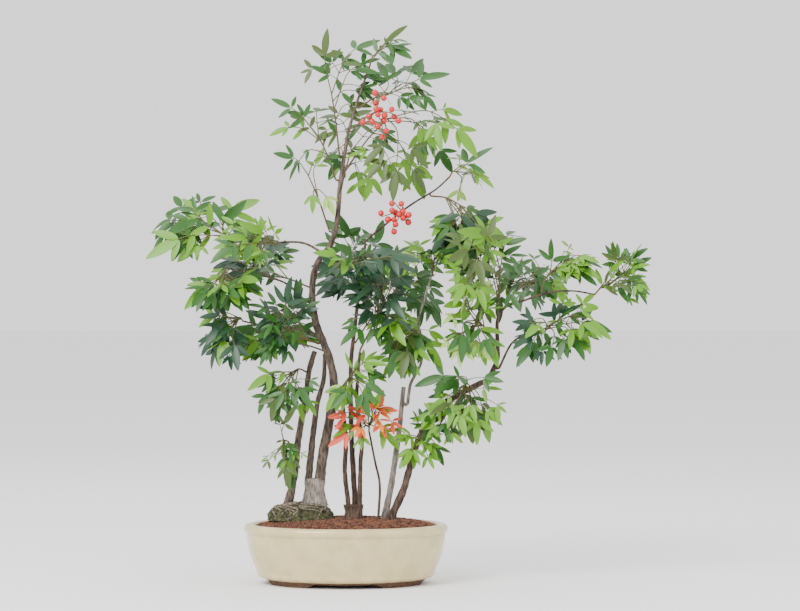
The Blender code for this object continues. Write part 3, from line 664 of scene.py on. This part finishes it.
@dataclass
class Heap:
    """Points and faces of one joined piece."""

    verts: list = field(default_factory=list)
    faces: list = field(default_factory=list)

    def add(self, verts: list, faces: list) -> None:
        """Adds a shape, whose faces count its own points from 0."""
        start = len(self.verts)
        self.verts += [tuple(v) for v in verts]
        self.faces += [tuple(i + start for i in face) for face in faces]

    def tube(self, points: list[Vector], radii: list[float], sides: int,
             relief: Relief | None = None) -> None:
        """Adds a tube with closed ends.

        Args:
            points: Its centre line.
            radii: Its radius at each point.
            sides: How many sides it has.
            relief: A factor on the radius at a turn and a run along it.
        """
        across = (points[1] - points[0]).normalized().orthogonal().normalized()
        verts = []
        run = 0.0
        for index, point in enumerate(points):
            ahead = points[min(index + 1, len(points) - 1)] - points[max(index - 1, 0)]
            ahead.normalize()
            across = (across - ahead * across.dot(ahead)).normalized()
            third = ahead.cross(across)
            run += (point - points[index - 1]).length if index else 0
            for side in range(sides):
                turn = FULL_TURN * side / sides
                factor = relief(turn, run) if relief else 1
                out = across * math.cos(turn) + third * math.sin(turn)
                verts.append(point + out * radii[index] * factor)
        faces = []
        for index in range(len(points) - 1):
            for side in range(sides):
                a, b = index * sides + side, index * sides + (side + 1) % sides
                faces.append((a, b, b + sides, a + sides))
        faces.append(tuple(reversed(range(sides))))
        faces.append(tuple(range((len(points) - 1) * sides, len(points) * sides)))
        self.add(verts, faces)

    def ball(self, centre: Vector, radius: float, rings: int, segments: int,
             squash: tuple = (1, 1, 1)) -> None:
        """Adds a ball.

        Args:
            centre: Its middle.
            radius: Its radius before it is squashed.
            rings: How many bands it has from pole to pole.
            segments: How many segments go round it.
            squash: A factor along each axis.
        """
        shape = bmesh.new()
        bmesh.ops.create_uvsphere(shape, u_segments=segments, v_segments=rings, radius=radius)
        for vert in shape.verts:
            vert.co = centre + Vector(vert.co[i] * squash[i] for i in range(3))
        shape.verts.index_update()
        self.add([v.co for v in shape.verts], [[v.index for v in f.verts] for f in shape.faces])
        shape.free()

    def piece(self, name: str, surface: bpy.types.Material, slot: str, nodes: tuple = (),
              merge: bool = True) -> None:
        """Makes the heap an object that rides on the body.

        Args:
            name: The object's name.
            surface: Its material.
            slot: Not used.
            nodes: The nodes that it replaces.
            merge: Whether points in one place become one.
        """
        mesh = bpy.data.meshes.new(name)
        mesh.from_pydata(self.verts, [], self.faces)
        mesh.validate()
        if merge:
            shape = bmesh.new()
            shape.from_mesh(mesh)
            bmesh.ops.remove_doubles(shape, verts=shape.verts, dist=WELD)
            shape.to_mesh(mesh)
            shape.free()
        obj = bpy.data.objects.new(name, mesh)
        bpy.context.scene.collection.objects.link(obj)
        dress(obj, surface, nodes)


@dataclass(frozen=True)
class Blade:
    """A leaf's shape: its half-width for its length, and where along it that is worked out."""

    width_share: float = 0.265
    stations: tuple = (0.0, 0.05, 0.14, 0.28, 0.45, 0.62, 0.79, 0.92, 1.0)

    @staticmethod
    def outline(station: float) -> float:
        """Width share at a station: a narrow foot, broad below the middle, a long point."""
        return 1.62 * (station ** 0.62) * ((1 - station) ** 0.86)

    def draw(self, heap: Heap, root: Vector, along: Vector, upward: Vector, length: float,
             curl: float, fold: float) -> None:
        """Adds one leaf, folded along its midrib and curling down towards its tip.

        Args:
            heap: The piece that it is added to.
            root: Its foot.
            along: Its unit direction.
            upward: About where its upper side faces.
            length: Its length in metres.
            curl: How far its tip drops, as a share of the length.
            fold: How far its edges rise, as a share of the half-width.
        """
        across = along.cross(upward).normalized()
        normal = across.cross(along).normalized()
        verts = []
        for station in self.stations:
            half = self.outline(station) * length * self.width_share
            drop = curl * length * station ** 2
            spine = root + along * length * station - normal * drop
            rise = normal * half * fold
            verts += [spine - across * half + rise, spine, spine + across * half + rise]
        faces = []
        for index in range(len(self.stations) - 1):
            a = 3 * index
            faces += [(a, a + 1, a + 4, a + 3), (a + 1, a + 2, a + 5, a + 4)]
        heap.add(verts, faces)


def dress(obj: bpy.types.Object, surface: bpy.types.Material, nodes: tuple = ()) -> None:
    """Gives an object its material, its body and the nodes that it replaces.

    Args:
        obj: The object.
        surface: Its material.
        nodes: The nodes that it replaces.
    """
    obj.data.materials.clear()
    obj.data.materials.append(surface)
    obj.data.shade_smooth()
    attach(obj, "root")
    if nodes:
        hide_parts(*nodes)
    LOG.info("%s: %d faces", obj.name, len(obj.data.polygons))


def turned(name: str, profile: list, centre: Vector, depth_share: float, steps: int) -> bpy.types.Object:
    """Spins a profile round the upright axis and narrows it in depth.

    Args:
        name: The object's name.
        profile: Radii and heights in metres, from the axis back to the axis.
        centre: Where the axis stands.
        depth_share: The depth for the width.
        steps: How many steps a full turn has.

    Returns:
        The object, without a material.
    """
    mesh = bpy.data.meshes.new(name + "_profile")
    mesh.from_pydata([(r, 0, z) for r, z in profile], [(i, i + 1) for i in range(len(profile) - 1)], [])
    guide = bpy.data.objects.new(name, mesh)
    bpy.context.scene.collection.objects.link(guide)
    screw = guide.modifiers.new("turn", "SCREW")
    screw.angle = FULL_TURN
    screw.steps = steps
    screw.render_steps = steps
    screw.use_merge_vertices = True
    screw.merge_threshold = 1e-5
    bpy.context.view_layer.update()
    made = bpy.data.meshes.new_from_object(guide.evaluated_get(bpy.context.evaluated_depsgraph_get()))
    guide.modifiers.clear()
    guide.data = made
    made.transform(Matrix.Translation(centre) @ Matrix.Diagonal((1, depth_share, 1, 1)))
    return guide


@dataclass
class Pot:
    """The glazed shell, and the clay on the feet."""

    middle: Vector
    finishes: Finishes
    steps: int = 144
    rim_centre: tuple[float, float] = (119.5, 67.6)
    rim_half: tuple[float, float] = (6.8, 6.0)
    inside: tuple = ((0, 15), (92, 15), (100, 17), (104, 21), (111, 40), (114.0, 62), (114.2, 69))
    groove: tuple = ((123.9, 62.9), (122.9, 62.0), (123.0, 61.0), (123.2, 59.5))
    wall: tuple = ((121.9, 52), (119.4, 38), (116.6, 30), (113.2, 22.7), (110.6, 16.5), (109.4, 13.4))
    base_bead: tuple = ((109.9, 12.2), (109.4, 10.2), (107.2, 8.4), (101.5, 6.4), (0, 6.4))

    def build(self) -> None:
        """Builds the shell and gives the feet their clay."""
        self.build_shell()
        feet = bpy.data.objects["foot_ring"]
        feet.data.materials.clear()
        feet.data.materials.append(self.finishes.clay)

    def rim(self) -> list[tuple[float, float]]:
        """The rolled rim's radii and heights."""
        turns = [math.radians(degrees) for degrees in range(-60, 121, 15)]
        (radius, height), (wide, tall) = self.rim_centre, self.rim_half
        return [(radius + wide * math.sin(turn), height + tall * math.cos(turn)) for turn in turns]

    def build_shell(self) -> None:
        """The glazed shell with its rolled rim, groove and base bead."""
        points = [*self.inside, *self.rim(), *self.groove, *self.wall, *self.base_bead]
        profile = [(r * MM, z * MM) for r, z in points]
        pot = turned("pot_shell", profile, self.middle, POT_DEPTH_SHARE, self.steps)
        dress(pot, self.finishes.glaze, ("pot",))
        pot.data.set_sharp_from_angle(angle=math.radians(50))


@dataclass
class Soil:
    """A domed bed with loose grains on it."""

    middle: Vector
    finishes: Finishes
    rng: random.Random
    edge: float = 112
    low: float = 71.5
    high: float = 79.5
    underside: float = 60
    bed_drop: float = 1.2
    bed_rings: int = 10
    bed_steps: int = 96
    grain_count: int = 5200
    grain_radius: tuple[float, float] = (1.1, 2.3)
    grain_squash: tuple[float, float] = (0.7, 1.15)
    grain_margin: float = 1.5
    grain_sink: float = 0.9

    def ground(self, share: float) -> float:
        """Height of the soil at a share of the way out, in metres."""
        return (self.high - (self.high - self.low) * share ** 4) * MM

    def build(self) -> None:
        """Builds the bed and the grains."""
        shares = [index / self.bed_rings for index in range(self.bed_rings + 1)]
        profile = [(share * self.edge * MM, self.ground(share) - self.bed_drop * MM) for share in shares]
        profile += [(self.edge * MM, self.underside * MM), (0, self.underside * MM)]
        bed = turned("soil_bed", profile, self.middle, POT_DEPTH_SHARE, self.bed_steps)
        dress(bed, self.finishes.soil, ("soil",))
        heap = Heap()
        reach = self.edge - self.grain_margin
        for _ in range(self.grain_count):
            share = math.sqrt(self.rng.uniform(0, 1))
            turn = self.rng.uniform(0, FULL_TURN)
            out = Vector((math.cos(turn), POT_DEPTH_SHARE * math.sin(turn), 0)) * share * reach * MM
            size = self.rng.uniform(*self.grain_radius) * MM
            centre = self.middle + out + Vector((0, 0, self.ground(share) - self.grain_sink * MM))
            squash = tuple(self.rng.uniform(*self.grain_squash) for _ in range(3))
            heap.ball(centre, size, 4, 6, squash)
        heap.piece("soil_grains", self.finishes.grains, "soil", merge=False)


@dataclass
class Mound:
    """The mossy root mound with hollows, tufts and bare roots."""

    middle: Vector
    finishes: Finishes
    rng: random.Random
    centre: tuple[float, float] = (-56, 0)
    half: tuple[float, float] = (41.5, 29.8)
    low: float = 78.0
    high: float = 97.5
    lump_scale: float = 2.6
    lump_height: float = 2.2
    rings: int = 26
    spokes: int = 72
    tuft_count: int = 900
    tuft_radius: tuple[float, float] = (0.7, 1.9)
    root_count: int = 26
    root_bends: int = 8
    root_radius: tuple[float, float] = (1.0, 2.2)

    def build(self) -> None:
        """Builds the moss, then the roots."""
        self.build_moss()
        self.build_roots()

    def height(self, x: float, y: float) -> float:
        """Finds the mound's surface.

        Args:
            x: The place along the mound, as a share of its half-length.
            y: The place across it, as a share of its half-depth.

        Returns:
            The height in metres.
        """
        reach = x * x + y * y
        lump = noise.fractal(Vector((x * self.lump_scale, y * self.lump_scale, 4.0)), 0.8, 2.0, 4)
        dome = max(0.0, 1 - reach ** 2) ** 0.55
        return (self.low + (self.high - self.low) * dome + self.lump_height * lump) * MM

    def spot(self, share: float, turn: float, height: float | None = None, lift: float = 0.0) -> Vector:
        """Finds a place on the mound.

        Args:
            share: How far out it is, from 0 to 1.
            turn: Its direction.
            height: Its height in metres, or None for the surface.
            lift: How far above that it lies, in metres.

        Returns:
            The place.
        """
        x, y = share * math.cos(turn), share * math.sin(turn)
        level = self.height(x, y) if height is None else height
        centre = self.middle + Vector((*self.centre, 0)) * MM
        return centre + Vector((x * self.half[0] * MM, y * self.half[1] * MM, level + lift))

    def build_moss(self) -> None:
        """The lumpy dome and its tufts."""
        heap = Heap()
        spokes = self.spokes
        verts = [self.spot(0, 0)]
        for ring in range(1, self.rings + 1):
            level = None if ring < self.rings else self.low * MM
            verts += [self.spot(ring / self.rings, FULL_TURN * s / spokes, level) for s in range(spokes)]
        faces = [(0, 1 + s, 1 + (s + 1) % spokes) for s in range(spokes)]
        for ring in range(self.rings - 1):
            for spoke in range(spokes):
                a = 1 + ring * spokes + spoke
                b = 1 + ring * spokes + (spoke + 1) % spokes
                faces.append((a, a + spokes, b + spokes, b))
        heap.add(verts, faces)
        for _ in range(self.tuft_count):
            share = math.sqrt(self.rng.uniform(0, 0.97))
            spot = self.spot(share, self.rng.uniform(0, FULL_TURN))
            heap.ball(spot, self.rng.uniform(*self.tuft_radius) * MM, 3, 5, (1, 1, 0.8))
        heap.piece("moss_mound", self.finishes.moss, "moss", ("root_mound",), merge=False)

    def build_roots(self) -> None:
        """Bare roots that wind outwards over the moss and dip in at their ends."""
        roots = Heap()
        for _ in range(self.root_count):
            turn = self.rng.uniform(0, FULL_TURN)
            points = []
            for part in range(self.root_bends + 1):
                share = 0.25 + 0.74 * part / self.root_bends
                angle = turn + 0.5 * math.sin(part * 0.9 + turn * 5)
                lift = 0.8 * MM if part < self.root_bends else -1 * MM
                points.append(self.spot(share, angle, lift=lift))
            base = self.rng.uniform(*self.root_radius)
            line = smooth_line(points, 2 * MM)
            roots.tube(line, tapered(line, base, base * 0.4), 7, ridged(turn, 0.12))
        roots.piece("bare_roots", self.finishes.root, "moss")


@dataclass
class Canes:
    """The canes, the boughs and the feet that some canes share."""

    middle: Vector
    finishes: Finishes
    step: float = 2.2
    thick: float = 2.5
    thick_sides: int = 16
    thin_sides: int = 9
    thick_relief: float = 0.16
    thin_relief: float = 0.10
    sunk_in_carrier: float = 1.2
    sunk_in_ground: float = 1.6
    foot_step: float = 1.4
    foot_sides: int = 30
    courses: dict[str, Course] = field(default_factory=dict)

    def build(self) -> dict[str, Course]:
        """Builds every limb and foot.

        Returns:
            The limbs' courses by name.
        """
        for limb in LIMBS:
            self.build_limb(limb)
        for foot in FEET:
            self.build_foot(foot)
        return self.courses

    def build_limb(self, limb: LimbPlan) -> None:
        """One tapering limb with bark relief."""
        bends = [self.middle + Vector(bend) * MM for bend in limb.bends]
        if limb.carrier:
            carrier, sunk = self.courses[limb.carrier], self.sunk_in_carrier * MM
            bends = leave(carrier, limb.share, bends[0], limb.base * MM, sunk) + bends
        else:
            bends.insert(0, bends[0] - Vector((0, 0, self.sunk_in_ground * MM)))
        points = smooth_line(bends, self.step * MM)
        course = Course(points, tapered(points, limb.base, limb.tip, limb.flare))
        self.courses[limb.name] = course
        thick = limb.base > self.thick
        depth = self.thick_relief if thick else self.thin_relief
        heap = Heap()
        relief = ridged(len(self.courses) * 7.3, depth)
        heap.tube(points, course.radii, self.thick_sides if thick else self.thin_sides, relief)
        heap.piece(f"{limb.name}_bark", self.finishes.bark[limb.bark], "bark", (limb.name,))

    def build_foot(self, foot: FootPlan) -> None:
        """A fluted foot that several canes share."""
        line = smooth_line([Vector((0, 0, height)) * MM for _, height in foot.side], self.foot_step * MM)
        pairs = list(zip(foot.side, foot.side[1:]))
        radii = []
        for point in line:
            height = point.z / MM
            low, high = next((pair for pair in pairs if pair[0][1] <= height <= pair[1][1]), pairs[-1])
            t = (height - low[1]) / (high[1] - low[1])
            radii.append((low[0] + (high[0] - low[0]) * t) * MM)
        heap = Heap()
        heap.tube(line, radii, self.foot_sides, ridged(len(foot.name), 0.12))
        shift = self.middle + Vector((*foot.centre, 0)) * MM
        depth = foot.depth_share
        heap.verts = [(x + shift.x, y * depth + shift.y, z + shift.z) for x, y, z in heap.verts]
        heap.piece(f"{foot.name}_bark", self.finishes.bark[foot.bark], "bark", (foot.name,))


@dataclass
class Room:
    """What a frond grows with: random numbers, corners to keep to, its colour and its leaves' size."""

    rng: random.Random
    low: Vector
    high: Vector
    tint: Tint
    size: float

    def jitter(self, reach: float) -> Vector:
        """A random vector within a reach along each axis."""
        return Vector(self.rng.uniform(-reach, reach) for _ in range(3))

    def excess(self, point: Vector) -> float:
        """How far a point lies outside the corners."""
        return max(max(self.low[i] - point[i], point[i] - self.high[i], 0) for i in range(3))


@dataclass
class Foliage:
    """Grows every mass from its limb, with finer twigs than its solid has.

    A named frond ends where the table says. A leafy mass also has fill fronds, which its solid has not,
    and each of them ends anywhere well inside the solid's box.
    """

    middle: Vector
    finishes: Finishes
    courses: dict[str, Course]
    blade: Blade = Blade()
    stem_radius: float = 1.25
    twig_radius: float = 0.85
    fine_radius: float = 0.42
    stem_sunk: float = 1.0
    frond_bow: float = 0.16
    frond_rise: float = 0.06
    frond_sway: float = 0.05
    node_spacing: float = 19
    bare_share: float = 0.25
    room_per_frond: float = 16
    most_fronds: int = 9
    open_above: float = 480
    open_share: float = 0.3
    inset: float = 20
    inset_share: float = 0.35
    fill_leaf_share: float = 0.82
    side_leaf_share: float = 0.66
    pinna_leaf_share: float = 0.82
    pinna_length: tuple[float, float] = (13, 24)
    leaf_length_share: float = 1.1
    leaf_least_share: float = 0.45
    leaf_droop: float = 0.28
    leaf_wobble: float = 0.14
    leaf_facing: tuple[float, float, float] = (0, -0.8, 0.6)
    berry_radius: float = 4.2
    berry_spacing: float = 6.8
    berries_on_branch: int = 5
    leaves: dict[Tint, Heap] = field(default_factory=lambda: {tint: Heap() for tint in Tint})
    twigs: Heap = field(default_factory=Heap)
    stalks: Heap = field(default_factory=Heap)
    berries: Heap = field(default_factory=Heap)

    def build(self) -> None:
        """Grows all the masses, then makes the joined pieces."""
        for mass in MASSES:
            self.grow(mass)
        leafy = tuple(mass.name for mass in MASSES if not mass.berries)
        fruiting = tuple(mass.name for mass in MASSES if mass.berries)
        self.twigs.piece("twigs", self.finishes.twig, "bark", merge=False)
        self.stalks.piece("leaf_stalks", self.finishes.stalk, "leaves", leafy, merge=False)
        for tint, heap in self.leaves.items():
            if heap.faces:
                heap.piece(f"leaves_{tint.value}", self.finishes.leaves[tint], "leaves", merge=False)
        self.berries.piece("berries", self.finishes.berry, "berries", fruiting, merge=False)

    def grow(self, mass: MassPlan) -> None:
        """One mass: its stem, its fronds and what they carry."""
        rng = random.Random(f"{SEED} {mass.name} fine")
        fork = self.middle + Vector(mass.fork) * MM
        limb = self.courses[mass.limb]
        start = leave(limb, mass.share, fork, self.stem_radius * MM, self.stem_sunk * MM)
        middle = (start[1] + fork) / 2 + Vector((0, 0, 4 * MM))
        points = smooth_line([*start, middle, fork], 6 * MM)
        stem = Course(points, tapered(points, self.stem_radius, self.twig_radius))
        self.twigs.tube(points, stem.radii, 7, ridged(rng.uniform(0, 9), 0.1))
        low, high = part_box(mass.name)
        room = Room(rng, low, high, mass.tint, mass.leaf)
        for end in mass.ends:
            self.frond(mass, stem, 0.98, self.middle + Vector(end) * MM, room)
        if not mass.berries:
            self.fill(mass, stem, room)

    def fill(self, mass: MassPlan, stem: Course, room: Room) -> None:
        """The fronds beside a mass's named ones, with smaller leaves; fewer where the crown is open."""
        low, high, rng = room.low, room.high, room.rng
        finer = replace(room, size=mass.leaf * self.fill_leaf_share)
        count = min(self.most_fronds, (high - low).length / (self.room_per_frond * MM))
        share = self.open_share if mass.fork[2] > self.open_above else 1
        inset = [min(self.inset * MM, self.inset_share * (high[i] - low[i])) for i in range(3)]
        for _ in range(round(count * share)):
            end = Vector(rng.uniform(low[i] + inset[i], high[i] - inset[i]) for i in range(3))
            self.frond(mass, stem, rng.uniform(0.45, 0.98), end, finer)

    def frond(self, mass: MassPlan, stem: Course, place: float, end: Vector, room: Room) -> None:
        """Grows a bowed twig with its leaves, or a panicle's branch with its berries.

        Args:
            mass: The mass that it belongs to.
            stem: The mass's stem.
            place: Where on the stem it leaves, from 0 to 1.
            end: Where it ends.
            room: What it grows with. Its tint is drawn here.
        """
        fork, tangent, _ = stem.at(place)
        run = end - fork
        sway = room.jitter(1) * run.length * self.frond_sway
        bow = tangent * run.length * self.frond_bow + Vector((0, 0, self.frond_rise * run.length)) + sway
        points = smooth_line([fork, fork + run * 0.5 + bow, end], 4 * MM)
        course = Course(points, tapered(points, self.twig_radius, self.fine_radius + 0.1))
        self.stalks.tube(points, course.radii, 6)
        if mass.berries:
            self.panicle(course, room.rng)
            return
        tints = [tint for tint, weight in PALETTES[mass.tint] for _ in range(weight)]
        room = replace(room, tint=room.rng.choice(tints))
        self.spray(course, 1.0, room, True)
        length = course.length()
        for pair in range(1, mass.pairs + 1):
            share = 1 - pair * self.node_spacing * MM / length
            if share > self.bare_share:
                self.pinnae(course, share, room, pair)

    def sideways(self, along: Vector, room: Room, jitter: float) -> Vector:
        """The direction across a twig whose leaves face forwards and up, give or take some jitter."""
        return along.cross(Vector(self.leaf_facing) + room.jitter(jitter)).normalized()

    def spray(self, course: Course, share: float, room: Room, terminal: bool) -> None:
        """Grows a pair of leaves at a node.

        Args:
            course: The twig that bears them.
            share: Where on the twig the node is.
            room: What they grow with.
            terminal: Whether a longer leaf stands between them.
        """
        node, along, _ = course.at(share)
        side = self.sideways(along, room, 0.4)
        upward = side.cross(along).normalized()
        spread = math.radians(room.rng.uniform(48, 66))
        self.stalks.ball(node, 0.95 * MM, 4, 6)
        if terminal:
            self.leaf(node, along, upward, room.size * room.rng.uniform(0.9, 1.1), room)
        for way in (-1, 1):
            aim = along * math.cos(spread) + side * way * math.sin(spread)
            size = room.size * self.side_leaf_share * room.rng.uniform(0.88, 1.15)
            self.leaf(node, aim, upward, size, room)

    def leaf(self, node: Vector, along: Vector, upward: Vector, size: float, room: Room) -> None:
        """Grows a leaf on a short stalk, shorter where it would pass the room's corners.

        Args:
            node: Where its stalk starts.
            along: Its direction before it droops.
            upward: About where its upper side faces.
            size: Its size in millimetres.
            room: What it grows with.
        """
        wobble = room.jitter(1) * self.leaf_wobble
        droop = Vector((0, 0, -self.leaf_droop * room.rng.uniform(0.4, 1.5)))
        direction = (along + wobble + droop).normalized()
        lift = (upward + wobble * 1.6).normalized()
        length = size * self.leaf_length_share * MM
        excess = room.excess(node + direction * length)
        length = max(length - excess * 1.1, length * self.leaf_least_share)
        root = node + direction * 1.5 * MM
        self.stalks.tube([node, root + direction * 1.0 * MM], [0.4 * MM, 0.3 * MM], 4)
        curl = room.rng.uniform(0.02, 0.16)
        fold = room.rng.uniform(0.1, 0.35)
        self.blade.draw(self.leaves[room.tint], root, direction, lift, length, curl, fold)

    def pinnae(self, course: Course, share: float, room: Room, pair: int) -> None:
        """Grows two opposite side twigs of three leaves each, or at times only a pair of leaves.

        Args:
            course: The frond's twig.
            share: Where on it the node is.
            room: What they grow with.
            pair: Which node it is, counted from the tip. Only the first may have the pair of leaves.
        """
        rng = room.rng
        if pair == 1 and rng.random() < 0.5:
            self.spray(course, share, room, False)
            return
        node, along, _ = course.at(share)
        side = self.sideways(along, room, 0.5)
        finer = replace(room, size=room.size * self.pinna_leaf_share)
        self.stalks.ball(node, 1.1 * MM, 4, 6)
        for way in (-1, 1):
            angle = math.radians(rng.uniform(48, 72))
            aim = along * math.cos(angle) + side * way * math.sin(angle)
            reach = rng.uniform(*self.pinna_length) * MM
            tip = node + aim * reach - Vector((0, 0, 0.12 * reach))
            line = smooth_line([node, node + aim * reach * 0.5, tip], 4 * MM)
            twig = Course(line, tapered(line, self.fine_radius + 0.15, self.fine_radius))
            self.stalks.tube(line, twig.radii, 5)
            self.spray(twig, 1.0, finer, True)

    def panicle(self, course: Course, rng: random.Random) -> None:
        """Berries on short stalks that go round a panicle's branch."""
        length = course.length()
        turn = rng.uniform(0, math.pi)
        for index in range(self.berries_on_branch):
            share = 1 - index * self.berry_spacing * MM / length
            if share < 0.1:
                break
            point, along, _ = course.at(min(share, 0.999))
            side = along.orthogonal().normalized()
            side.rotate(Matrix.Rotation(turn + index * 2.4, 3, along))
            centre = point + side * (self.berry_radius + rng.uniform(0.0, 2.0)) * MM
            self.stalks.tube([point, centre], [0.4 * MM, 0.35 * MM], 5)
            self.berries.ball(centre, self.berry_radius * rng.uniform(0.86, 1.0) * MM, 10, 14)


@dataclass(frozen=True)
class Lamp:
    """A soft area light: its place from the pot's middle and its size, in metres, and its power."""

    name: str
    place: tuple[float, float, float]
    size: float
    power: float


@dataclass
class Studio:
    """The floor, the lights and the camera, with lengths in metres."""

    middle: Vector
    floor_size: float = 60
    floor_height: float = -0.0004
    aim_height: float = 0.33
    surround: float = 1.45
    lens: float = 116.35
    camera_place: tuple[float, float, float] = (0.0668, -3.2, 0.343)
    lamps: tuple[Lamp, ...] = (
        Lamp("key_light", (-1.5, -2.2, 2.3), 1.5, 120),
        Lamp("fill_light", (2.1, -1.9, 1.4), 2.2, 22),
        Lamp("top_light", (0.1, 0.4, 2.6), 2.0, 22),
    )

    def build(self) -> None:
        """Sets the stage."""
        self.build_floor()
        for lamp in self.lamps:
            self.build_light(lamp)
        self.build_world()
        self.build_camera()

    def build_floor(self) -> None:
        """A wide pale floor."""
        bpy.ops.mesh.primitive_plane_add(size=self.floor_size, location=(0, 0, self.floor_height))
        floor = bpy.context.object
        floor.name = "floor"
        floor.data.materials.append(Surface("floor_white", FLOOR_FINISH).material)

    def build_light(self, lamp: Lamp) -> None:
        """One soft area light aimed at the plant's middle."""
        light = bpy.data.lights.new(lamp.name, "AREA")
        light.size = lamp.size
        light.energy = lamp.power
        obj = bpy.data.objects.new(lamp.name, light)
        bpy.context.scene.collection.objects.link(obj)
        obj.location = self.middle + Vector(lamp.place)
        aim = self.middle + Vector((0, 0, self.aim_height)) - obj.location
        obj.rotation_euler = aim.to_track_quat("-Z", "Y").to_euler()

    def build_world(self) -> None:
        """An even white surround."""
        world = bpy.data.worlds.new("surround")
        bpy.context.scene.world = world
        world.use_nodes = True
        background = world.node_tree.nodes["Background"]
        background.inputs["Color"].default_value = (1, 1, 1, 1)
        background.inputs["Strength"].default_value = self.surround

    def build_camera(self) -> None:
        """The camera about where the photograph's stood."""
        camera = bpy.data.cameras.new("camera")
        camera.lens = self.lens
        camera.sensor_width = 36
        obj = bpy.data.objects.new("camera", camera)
        bpy.context.scene.collection.objects.link(obj)
        obj.location = self.middle + Vector(self.camera_place)
        obj.rotation_euler = (math.pi / 2, 0, 0)
        bpy.context.scene.camera = obj


def note_sizes() -> None:
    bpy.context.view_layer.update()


def main() -> None:
    """Builds the looks in order."""
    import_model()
    note_sizes()
    low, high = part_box("pot")
    middle = Vector(((low.x + high.x) / 2, (low.y + high.y) / 2, 0))
    finishes = Finishes()
    ground_rng = random.Random(SEED)
    Pot(middle, finishes).build()
    Soil(middle, finishes, ground_rng).build()
    Mound(middle, finishes, ground_rng).build()
    courses = Canes(middle, finishes).build()
    Foliage(middle, finishes, courses).build()
    Studio(middle).build()
    note_sizes()


if __name__ == "__main__":
    main()
